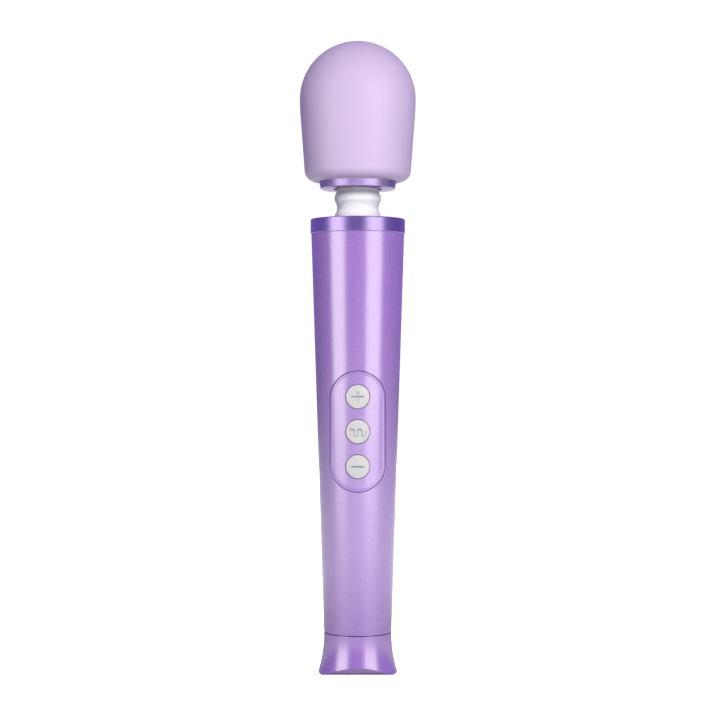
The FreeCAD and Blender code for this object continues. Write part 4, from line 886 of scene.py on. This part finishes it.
    def foot_cap(self) -> bpy.types.Object:
        """Makes the flared foot with its spigot, its socket hole and its curved underside.

        Returns:
            The foot.
        """
        foot_radius, foot_edge, straight, height = 15.85, 0.9, 0.8, 16.5
        flare_top = height - straight
        rise, spread = flare_top - foot_edge, foot_radius - self.waist_radius
        flare = (rise * rise + spread * spread) / (spread * 2)
        spigot_gap, spigot_wall, floor, socket = 0.1, 1.65, 3.4, 2.65
        spigot = self.waist_radius - self.tube_wall - spigot_gap
        spigot_top = high_mm("base_cap").z
        bore = spigot - spigot_wall
        blank = (
            Outline(socket, 0.0)
            .to(foot_radius - foot_edge, 0.0)
            .round_to(foot_radius, foot_edge, foot_edge, Turn.LEFT, 8)
            .round_to(self.waist_radius, flare_top, flare, Turn.RIGHT, 28)
            .to(self.waist_radius, height - self.edge)
            .round_to(self.waist_radius - self.edge, height, self.edge, Turn.LEFT, 3)
            .to(spigot, height)
            .to(spigot, spigot_top)
            .to(bore, spigot_top)
            .to(bore, floor)
            .to(socket, floor)
            .turned(192)
        )
        piece = new_object("foot_cap", blank)
        strip, rocker, reach = 3.0, 18.3, foot_radius + 1.0
        lift = rocker - math.sqrt(rocker * rocker - (reach - strip) ** 2)
        under = (
            Outline(-reach, -foot_edge)
            .to(reach, -foot_edge)
            .to(reach, lift)
            .round_to(strip, 0.0, rocker, Turn.RIGHT, 40)
            .to(-strip, 0.0)
            .round_to(-reach, lift, rocker, Turn.RIGHT, 40)
        )
        bm = under.bm
        bm.edges.new((under.tip, under.start))
        rotate(bm, QUARTER, "Z")
        bmesh.ops.translate(bm, verts=bm.verts[:], vec=(-self.outside, 0.0, 0.0))
        cut(piece, tower(bm, (lambda spot: spot + Vector((2 * self.outside, 0.0, 0.0)),)), Cut.TAKE_AWAY)
        shade_smooth(piece, 14.0)
        return settle(piece, "handle", "base_cap", "lilac_lacquer")


# ---------------------------------------------------------------- buttons


class Sign(Enum):
    """The sign sunk into a button's face."""

    PLUS = "plus"
    WAVE = "pattern"
    MINUS = "minus"


class Stroke:
    """A line of even width, drawn with a short edge as its pen, and raised into a cutting tool."""

    def __init__(self, x: float, z: float, heading: float, width: float) -> None:
        """Puts the pen down at a spot, with a heading in degrees above the X axis."""
        self.bm = bmesh.new()
        self.heading = math.radians(heading)
        self.spot = Vector((x, 0.0, z))
        across = self.across() * (width / 2)
        ends = [self.bm.verts.new(self.spot + across), self.bm.verts.new(self.spot - across)]
        self.pen = self.bm.edges.new(ends)

    def across(self) -> Vector:
        """The direction to the left of the heading."""
        return Vector((-math.sin(self.heading), 0.0, math.cos(self.heading)))

    def ahead(self, length: float) -> "Stroke":
        """Draws a straight line.

        Args:
            length: how long it is.

        Returns:
            The stroke, so that calls can follow on.
        """
        step = Vector((math.cos(self.heading), 0.0, math.sin(self.heading))) * length
        made = bmesh.ops.extrude_edge_only(self.bm, edges=[self.pen])["geom"]
        bmesh.ops.translate(self.bm, verts=verts_of(made), vec=step)
        self.pen = edges_of(made)[0]
        self.spot = self.spot + step
        return self

    def bend(self, radius: float, degrees: float) -> "Stroke":
        """Draws an arc, to the left if the angle is positive.

        Args:
            radius: the arc's radius at the middle of the stroke.
            degrees: how far it turns.

        Returns:
            The stroke, so that calls can follow on.
        """
        side = math.copysign(1.0, degrees)
        centre = self.spot + self.across() * radius * side
        angle = math.radians(abs(degrees))
        steps = max(4, int(abs(degrees) / 9))
        made = bmesh.ops.spin(
            self.bm, geom=[self.pen], cent=centre, axis=(0.0, -side, 0.0), angle=angle, steps=steps
        )["geom_last"]
        self.pen = edges_of(made)[0]
        self.spot = centre + Matrix.Rotation(-side * angle, 3, "Y") @ (self.spot - centre)
        self.heading += side * angle
        return self

    def raised(self, back: float, front: float, level: float) -> bmesh.types.BMesh:
        """Raises the stroke into a solid between two depths in front of the axis.

        Args:
            back: the nearer one to the axis.
            front: the further one.
            level: height of the button's middle.

        Returns:
            The solid.
        """
        bmesh.ops.translate(self.bm, verts=self.bm.verts[:], vec=(0.0, -back, level))
        made = bmesh.ops.extrude_face_region(self.bm, geom=self.bm.faces[:])["geom"]
        bmesh.ops.translate(self.bm, verts=verts_of(made), vec=(0.0, back - front, 0.0))
        bmesh.ops.recalc_face_normals(self.bm, faces=self.bm.faces[:])
        return self.bm


@dataclass
class Buttons:
    """Three white buttons: softly domed caps with a sign sunk into each."""

    cone: Taper
    radius: float = 4.7
    rise: float = 0.95
    crown: float = 0.5
    corner: float = 0.38
    flange_radius: float = 5.6
    flange_wall: float = 0.7
    panel_wall: float = 2.6
    gap: float = 0.1
    stem_radius: float = 1.2
    sign_depth: float = 0.9
    line: float = 0.52
    plus_width: float = 5.0
    plus_height: float = 4.4
    minus_width: float = 4.9
    wave_half_width: float = 3.1
    wave_radius: float = 0.78

    names = ("plus", "pattern", "minus")

    def strokes(self, sign: Sign) -> list[Stroke]:
        """Draws a sign.

        Args:
            sign: which one.

        Returns:
            Its lines.
        """
        if sign is Sign.PLUS:
            post = Stroke(0.0, -self.plus_height / 2, 90.0, self.line).ahead(self.plus_height)
            return [Stroke(-self.plus_width / 2, 0.0, 0.0, self.line).ahead(self.plus_width), post]
        if sign is Sign.MINUS:
            return [Stroke(-self.minus_width / 2, 0.0, 0.0, self.line).ahead(self.minus_width)]
        end, side = 1.5, 1.3
        wave = Stroke(-self.wave_half_width, -side, 90.0, self.line).ahead(end)
        for degrees, length in ((-180.0, side), (180.0, side), (-180.0, side), (180.0, end)):
            wave.bend(self.wave_radius, degrees).ahead(length)
        return [wave]

    def button(self, sign: Sign) -> bpy.types.Object:
        """Makes one button.

        Args:
            sign: the sign on its face.

        Returns:
            The button.
        """
        name = sign.value
        low, high = low_mm(f"{name}_button"), high_mm(f"{name}_button")
        level = (low.z + high.z) / 2
        top = self.cone.radius(level) + self.rise
        edge = self.radius - self.corner
        crown_radius = (edge * edge + self.crown * self.crown) / (2 * self.crown)
        panel_back = self.cone.radius(level) - self.panel_wall
        flange_front = math.sqrt(panel_back * panel_back - self.flange_radius**2) - self.gap
        blank = (
            Outline(0.0, -high.y)
            .to(self.stem_radius, -high.y)
            .to(self.stem_radius, flange_front - self.flange_wall)
            .to(self.flange_radius, flange_front - self.flange_wall)
            .to(self.flange_radius, flange_front)
            .to(self.radius, flange_front)
            .to(self.radius, top - self.crown - self.corner)
            .round_to(edge, top - self.crown, self.corner, Turn.LEFT, 6)
            .round_to(0.0, top, crown_radius, Turn.LEFT, 16)
            .turned(96, closed=False)
        )
        rotate(blank, QUARTER, "X")
        bmesh.ops.translate(blank, verts=blank.verts[:], vec=(0.0, 0.0, level))
        piece = new_object(f"{name}_button_cap", blank)
        for stroke in self.strokes(sign):
            cut(piece, stroke.raised(top - self.sign_depth, top + 1.0, level), Cut.TAKE_AWAY)
        middle = Vector((0.0, crown_radius - top, level))
        crown: Form = lambda spot: (spot - middle).normalized()
        side: Form = lambda spot: Vector((spot.x, 0.0, spot.z - level)).normalized()
        shade_by_forms(piece, (crown, side), 0.998)
        return settle(piece, f"{name}_key", f"{name}_button", "white_button")


# ---------------------------------------------------------------- neck


@dataclass
class Neck:
    """The white sleeve with its two bulges, the spring that carries the head, and the flexible shaft."""

    bulge_radius: float = 9.35
    groove_radius: float = 8.3
    bulge_pitch: float = 7.7
    bulge_height: float = 8.4
    bore: float = 7.0
    flange: float = 12.0
    flange_wall: float = 1.8

    def __post_init__(self) -> None:
        """Takes the levels from the plain parts."""
        self.foot, self.top = low_mm("neck_sleeve").z, high_mm("neck_sleeve").z
        self.upper = high_mm("collar").z + self.bulge_height
        self.middle = self.upper - self.bulge_pitch / 2
        self.lower = self.upper - self.bulge_pitch

    def hang(self, piece: bpy.types.Object, upper: bool, node: str, slot: str) -> bpy.types.Object:
        """Turns half of a piece that runs through the neck to metres, fixes its place in its mesh, and
        dresses it; both halves are treated alike.

        Args:
            piece: half of a piece that runs through the neck.
            upper: whether it is the upper half.
            node: the plain part that it replaces.
            slot: the record's slot for its finish.

        Returns:
            The piece.
        """
        scale_down(piece)
        if upper:
            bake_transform(piece)
        else:
            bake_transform(piece)
        label(piece, node, slot)
        return piece

    def sleeve(self) -> list[bpy.types.Object]:
        """Makes the sleeve in two halves that meet in the groove.

        Returns:
            The lower and the upper half.
        """
        swell = self.bulge_radius - self.groove_radius
        quarter = self.bulge_pitch / 4
        bend = (quarter * quarter + swell * swell / 4) / swell
        waist = self.groove_radius + swell / 2
        low = (
            Outline(self.bore, self.middle)
            .to(self.bore, self.lower)
            .to(self.bore, self.foot)
            .to(self.flange, self.foot)
            .to(self.flange, self.foot + self.flange_wall)
            .to(self.bulge_radius, self.foot + self.flange_wall)
            .to(self.bulge_radius, self.lower)
            .round_to(waist, self.lower + quarter, bend, Turn.LEFT, 10)
            .round_to(self.groove_radius, self.middle, bend, Turn.RIGHT, 10)
            .turned(144)
        )
        high = (
            Outline(self.groove_radius, self.middle)
            .round_to(waist, self.middle + quarter, bend, Turn.RIGHT, 10)
            .round_to(self.bulge_radius, self.upper, bend, Turn.LEFT, 10)
            .round_to(waist, self.upper + quarter, bend, Turn.LEFT, 10)
            .round_to(self.groove_radius, self.upper + quarter * 2, bend, Turn.RIGHT, 10)
            .to(self.groove_radius, self.top - self.flange_wall)
            .to(self.flange, self.top - self.flange_wall)
            .to(self.flange, self.top)
            .to(self.bore, self.top)
            .to(self.bore, self.upper)
            .to(self.bore, self.middle)
            .turned(144)
        )
        halves = []
        for name, shape, upper in (("neck_sleeve_lower", low, False), ("neck_sleeve_upper", high, True)):
            piece = new_object(name, shape)
            shade_smooth(piece, 50.0)
            halves.append(self.hang(piece, upper, "neck_sleeve", "white_silicone"))
        return halves

    def spring(self) -> list[bpy.types.Object]:
        """Winds the neck's spring in two halves.

        Returns:
            The lower and the upper half.
        """
        wire, coil, pitch = 0.8, 5.5, 2.5
        foot = low_mm("neck_spring").z + wire
        top = high_mm("neck_spring").z - wire
        halves = []
        for name, start, end, upper in (
            ("neck_spring_lower", foot, self.middle, False),
            ("neck_spring_upper", self.middle, top, True),
        ):
            bm = bmesh.new()
            bmesh.ops.create_circle(bm, radius=wire, segments=12)
            rotate(bm, QUARTER, "X")
            bmesh.ops.translate(bm, verts=bm.verts[:], vec=(coil, 0.0, start))
            rotate(bm, (start - foot) / pitch * ROUND, "Z")
            turns = (end - start) / pitch
            steps = max(1, round(turns * 36))
            ends = edges_of(
                bmesh.ops.spin(
                    bm,
                    geom=bm.edges[:],
                    cent=(0, 0, 0),
                    axis=(0, 0, 1),
                    dvec=(0, 0, (end - start) / steps),
                    angle=turns * ROUND,
                    steps=steps,
                )["geom_last"]
            )
            bmesh.ops.edgenet_fill(bm, edges=ends)
            bmesh.ops.edgenet_fill(bm, edges=[edge for edge in bm.edges if edge.is_boundary])
            bmesh.ops.recalc_face_normals(bm, faces=bm.faces[:])
            piece = new_object(name, bm)
            piece.data.shade_smooth()
            halves.append(self.hang(piece, upper, "neck_spring", "spring_steel"))
        return halves

    def flexible_shaft(self) -> list[bpy.types.Object]:
        """Makes the flexible shaft in two halves, with a shallow ridge for each turn of its wound wire.

        Returns:
            The lower and the upper half.
        """
        radius = high_mm("flex_shaft").x
        strand, dent = 0.7, 0.12
        halves = []
        for name, start, end, upper in (
            ("flexible_shaft_lower", low_mm("flex_shaft").z, self.middle, False),
            ("flexible_shaft_upper", self.middle, high_mm("flex_shaft").z, True),
        ):
            turns = round((end - start) / strand)
            step = (end - start) / turns
            bend = (step * step / 4 + dent * dent) / (2 * dent)
            line = Outline(0.0, start).to(radius - dent, start)
            for turn in range(turns):
                level = start + turn * step
                line.round_to(radius - dent, level + step, bend, Turn.LEFT, 4)
            piece = new_object(name, line.to(0.0, end).turned(32, closed=False))
            shade_smooth(piece, 60.0)
            halves.append(self.hang(piece, upper, "flex_shaft", "spring_steel"))
        return halves


# ---------------------------------------------------------------- head


@dataclass
class Head:
    """The domed silicone cover and the metal ring under it."""

    taper: float = math.radians(4.3)
    corner: float = 4.6
    side_bend: float = 90.0
    wall: float = 3.1

    def ring(self) -> bpy.types.Object:
        """Makes the anodised ring, which leans in a little towards its foot.

        Returns:
            The ring.
        """
        low, high = low_mm("head_ring"), high_mm("head_ring")
        outside, lip, edge, wall, plate, lean = high.x, 0.3, 0.8, 1.2, 1.4, 0.45
        blank = (
            Outline(NECK_HOLE, low.z + lip)
            .round_to(NECK_HOLE + lip, low.z, lip, Turn.LEFT, 3)
            .to(outside - edge - lean, low.z)
            .round_to(outside - lean, low.z + edge, edge, Turn.LEFT, 8)
            .to(outside, high.z)
            .to(outside - wall, high.z)
            .to(outside - wall, low.z + plate)
            .to(NECK_HOLE, low.z + plate)
            .turned(240)
        )
        piece = new_object("head_ring_band", blank)
        shade_smooth(piece, 40.0)
        return settle(piece, "head", "head_ring", "purple_anodised")

    def cover(self) -> bpy.types.Object:
        """Makes the cover: tapered sides, a rounded lower corner and a round dome.

        Returns:
            The cover.
        """
        low, high = low_mm("head_cover"), high_mm("head_cover")
        widest = high.x
        middle = high.z - widest
        curve_foot = middle - self.side_bend * math.sin(self.taper)
        curve_radius = widest - self.side_bend * (1 - math.cos(self.taper))
        corner_top = low.z + self.corner * (1 - math.sin(self.taper))
        side_foot = curve_radius - (curve_foot - corner_top) * math.tan(self.taper)
        corner_inset = self.corner * math.cos(self.taper)
        hole = high_mm("head_ring").x + 0.1
        inner = widest - self.wall
        core_foot = low.z + self.wall - 0.05
        chamfer_foot, chamfer_top, chamfer_rise = 17.25, 18.55, 2.45
        blank = (
            Outline(hole, low.z)
            .to(side_foot - corner_inset, low.z)
            .round_to(side_foot, corner_top, self.corner, Turn.LEFT, 16)
            .to(curve_radius, curve_foot)
            .round_to(widest, middle, self.side_bend, Turn.LEFT, 12)
            .round_to(0.0, high.z, widest, Turn.LEFT, 64)
            .to(0.0, high.z - self.wall)
            .round_to(inner, middle, inner, Turn.RIGHT, 32)
            .to(chamfer_top, core_foot + chamfer_rise)
            .to(chamfer_foot, core_foot)
            .to(hole, core_foot)
            .turned(240)
        )
        piece = new_object("head_cover_skin", blank)
        shade_smooth(piece, 40.0)
        return settle(piece, "head", "head_cover", "lavender_silicone")


# ---------------------------------------------------------------- studio


@dataclass
class Studio:
    """The pale floor, the room, the camera and the lights.

    Two tall softboxes show only in reflections. A key light and a back fill light everything but reflections,
    and a faint overhead light fills in from above. The floor and the room look white to the camera, and are
    dimmer and violet to the wand.
    """

    distance: float = 0.715
    height: float = 0.1267
    shift_right: float = 0.0001
    lens: float = 89.3
    aim: tuple[float, float, float] = (0.0, 0.0, 0.13)
    box_distance: float = 0.75
    box_level: float = 0.28
    box_height: float = 0.95
    box_color: tuple[float, float, float] = (1.0, 1.0, 0.82)

    def floor(self) -> None:
        """Lays the floor: white to the camera, a soft bright ring in reflections, and faint otherwise."""
        bm = bmesh.new()
        bmesh.ops.create_grid(bm, x_segments=1, y_segments=1, size=6.0)
        floor = new_object("floor", bm)
        material = bpy.data.materials.new("pale_paper_floor")
        material.use_nodes = True
        tree = material.node_tree
        tree.nodes.clear()
        faint, bright, far_edge, white = 0.02, 0.95, 0.15, 1.0
        seen = add(tree, "ShaderNodeLightPath").outputs
        spot = add(tree, "ShaderNodeTexCoord").outputs["Object"]
        reach = add(tree, "ShaderNodeVectorMath", {0: spot}, operation="LENGTH").outputs["Value"]
        fades = []
        for start, end, low, high in ((0.1, 0.26, faint, bright), (0.5, 1.4, white, far_edge)):
            fade = {"Value": reach, "From Min": start, "From Max": end, "To Min": low, "To Max": high}
            fades.append(add(tree, "ShaderNodeMapRange", fade).outputs[0])
        ring = add(tree, "ShaderNodeMath", dict(enumerate(fades)), operation="MULTIPLY").outputs[0]
        level: bpy.types.NodeSocket | float = faint
        for ray, strength in (("Is Glossy Ray", ring), ("Is Camera Ray", white)):
            sockets = {"Value": seen[ray], "To Min": level, "To Max": strength}
            level = add(tree, "ShaderNodeMapRange", sockets).outputs[0]
        shader = add(
            tree,
            "ShaderNodeBsdfPrincipled",
            {
                "Base Color": linear("f4f4f4"),
                "Roughness": 0.9,
                "Emission Color": linear("ffffff"),
                "Emission Strength": level,
            },
        )
        add(tree, "ShaderNodeOutputMaterial", {"Surface": shader.outputs[0]})
        floor.data.materials.append(material)

    def light(
        self,
        name: str,
        size: tuple[float, float],
        power: float,
        place: tuple[float, float, float],
        aim: tuple[float, float, float] | None = None,
        color: tuple[float, float, float] = (1.0, 1.0, 1.0),
        hidden_from: Sequence[str] = (),
    ) -> None:
        """Hangs a soft light.

        Args:
            name: its name.
            size: its width and height, in metres.
            power: its strength, in watts.
            place: where it hangs.
            aim: the spot that it faces, or None for straight down.
            color: its colour.
            hidden_from: the kinds of ray that don't see it.
        """
        data = bpy.data.lights.new(name, "AREA")
        data.shape, data.energy, data.color = "RECTANGLE", power, color
        data.size, data.size_y = size
        lamp = bpy.data.objects.new(name, data)
        lamp.location = place
        if aim:
            lamp.rotation_euler = (Vector(aim) - lamp.location).to_track_quat("-Z", "Y").to_euler()
        for ray in hidden_from:
            setattr(lamp, f"visible_{ray}", False)
        bpy.context.scene.collection.objects.link(lamp)

    def lights(self) -> None:
        """Hangs all the lights, the softboxes upright on either side of the camera."""
        for name, azimuth, width, power in (
            ("left_softbox", -51.0, 0.5, 4.4),
            ("right_softbox", 42.0, 0.56, 4.7),
        ):
            angle = math.radians(azimuth)
            x, y = self.box_distance * math.sin(angle), -self.box_distance * math.cos(angle)
            size, aim = (width, self.box_height), (0.0, 0.0, self.box_level)
            self.light(name, size, power, (x, y, self.box_level), aim, self.box_color, ("diffuse",))
        self.light("key_light", (0.6, 0.5), 12.0, (0.22, -0.95, 0.66), self.aim, hidden_from=("glossy",))
        self.light("back_fill", (1.2, 0.6), 9.0, (0.0, 1.4, 0.35), self.aim, hidden_from=("glossy", "camera"))
        self.light("overhead", (1.6, 1.6), 0.5, (0.0, -0.2, 1.4))

    def world(self) -> None:
        """Makes the room: white where it is looked at, and dim where it only lights."""
        world = bpy.data.worlds.new("studio")
        world.use_nodes = True
        tree = world.node_tree
        tree.nodes.clear()
        seen = add(tree, "ShaderNodeLightPath").outputs
        color: bpy.types.NodeSocket | tuple[float, float, float, float] = (0.1, 0.09, 0.15, 1.0)
        mirrored, looked_at = (0.36, 0.24, 0.82, 1.0), (1.05, 1.05, 1.05, 1.0)
        for ray, shade in (("Is Glossy Ray", mirrored), ("Is Camera Ray", looked_at)):
            sockets = {"Factor": seen[ray], 6: color, 7: shade}
            color = add(tree, "ShaderNodeMix", sockets, data_type="RGBA").outputs[2]
        back = add(tree, "ShaderNodeBackground", {"Color": color, "Strength": 1.0})
        add(tree, "ShaderNodeOutputWorld", {"Surface": back.outputs[0]})
        bpy.context.scene.world = world

    def camera(self) -> None:
        """Stands the camera in front, level, at mid height."""
        data = bpy.data.cameras.new("camera")
        data.lens, data.sensor_width = self.lens, 36.0
        data.clip_start, data.clip_end = 0.01, 50.0
        camera = bpy.data.objects.new("camera", data)
        camera.location = (self.shift_right, -self.distance, self.height)
        camera.rotation_euler = (QUARTER, 0.0, 0.0)
        bpy.context.scene.collection.objects.link(camera)
        bpy.context.scene.camera = camera

    def build(self) -> None:
        """Sets the whole studio up."""
        self.camera()
        self.floor()
        self.world()
        self.lights()
        view = bpy.context.scene.view_settings
        view.view_transform, view.look, view.exposure, view.gamma = "Standard", "None", 0.0, 1.0


# ---------------------------------------------------------------- the whole wand


def dress_parts() -> None:
    """Gives each plain part that stays in view the finish of its slot."""
    slots = {part["node"]: part["material_slot"] for part in frame["record"]["subparts"]}
    for node, part in frame["nodes"].items():
        finish = MATERIALS[slots[node]]
        if not part.material_slots:
            part.data.materials.append(finish)
        for holder in part.material_slots:
            holder.material = finish
        log.info("%s: %s", node, finish.name)


def main() -> None:
    """Builds the wand and its studio."""
    Studio().build()
    dress_parts()
    handle = Handle()
    handle.foot_cap()
    handle.tube()
    handle.control_panel()
    handle.collar()
    buttons = Buttons(handle.cone)
    for sign in Sign:
        buttons.button(sign)
    neck = Neck()
    neck.sleeve()
    neck.spring()
    neck.flexible_shaft()
    head = Head()
    head.ring()
    head.cover()


if __name__ == "__main__":
    logging.basicConfig(level=logging.INFO, format="%(message)s")
    main()
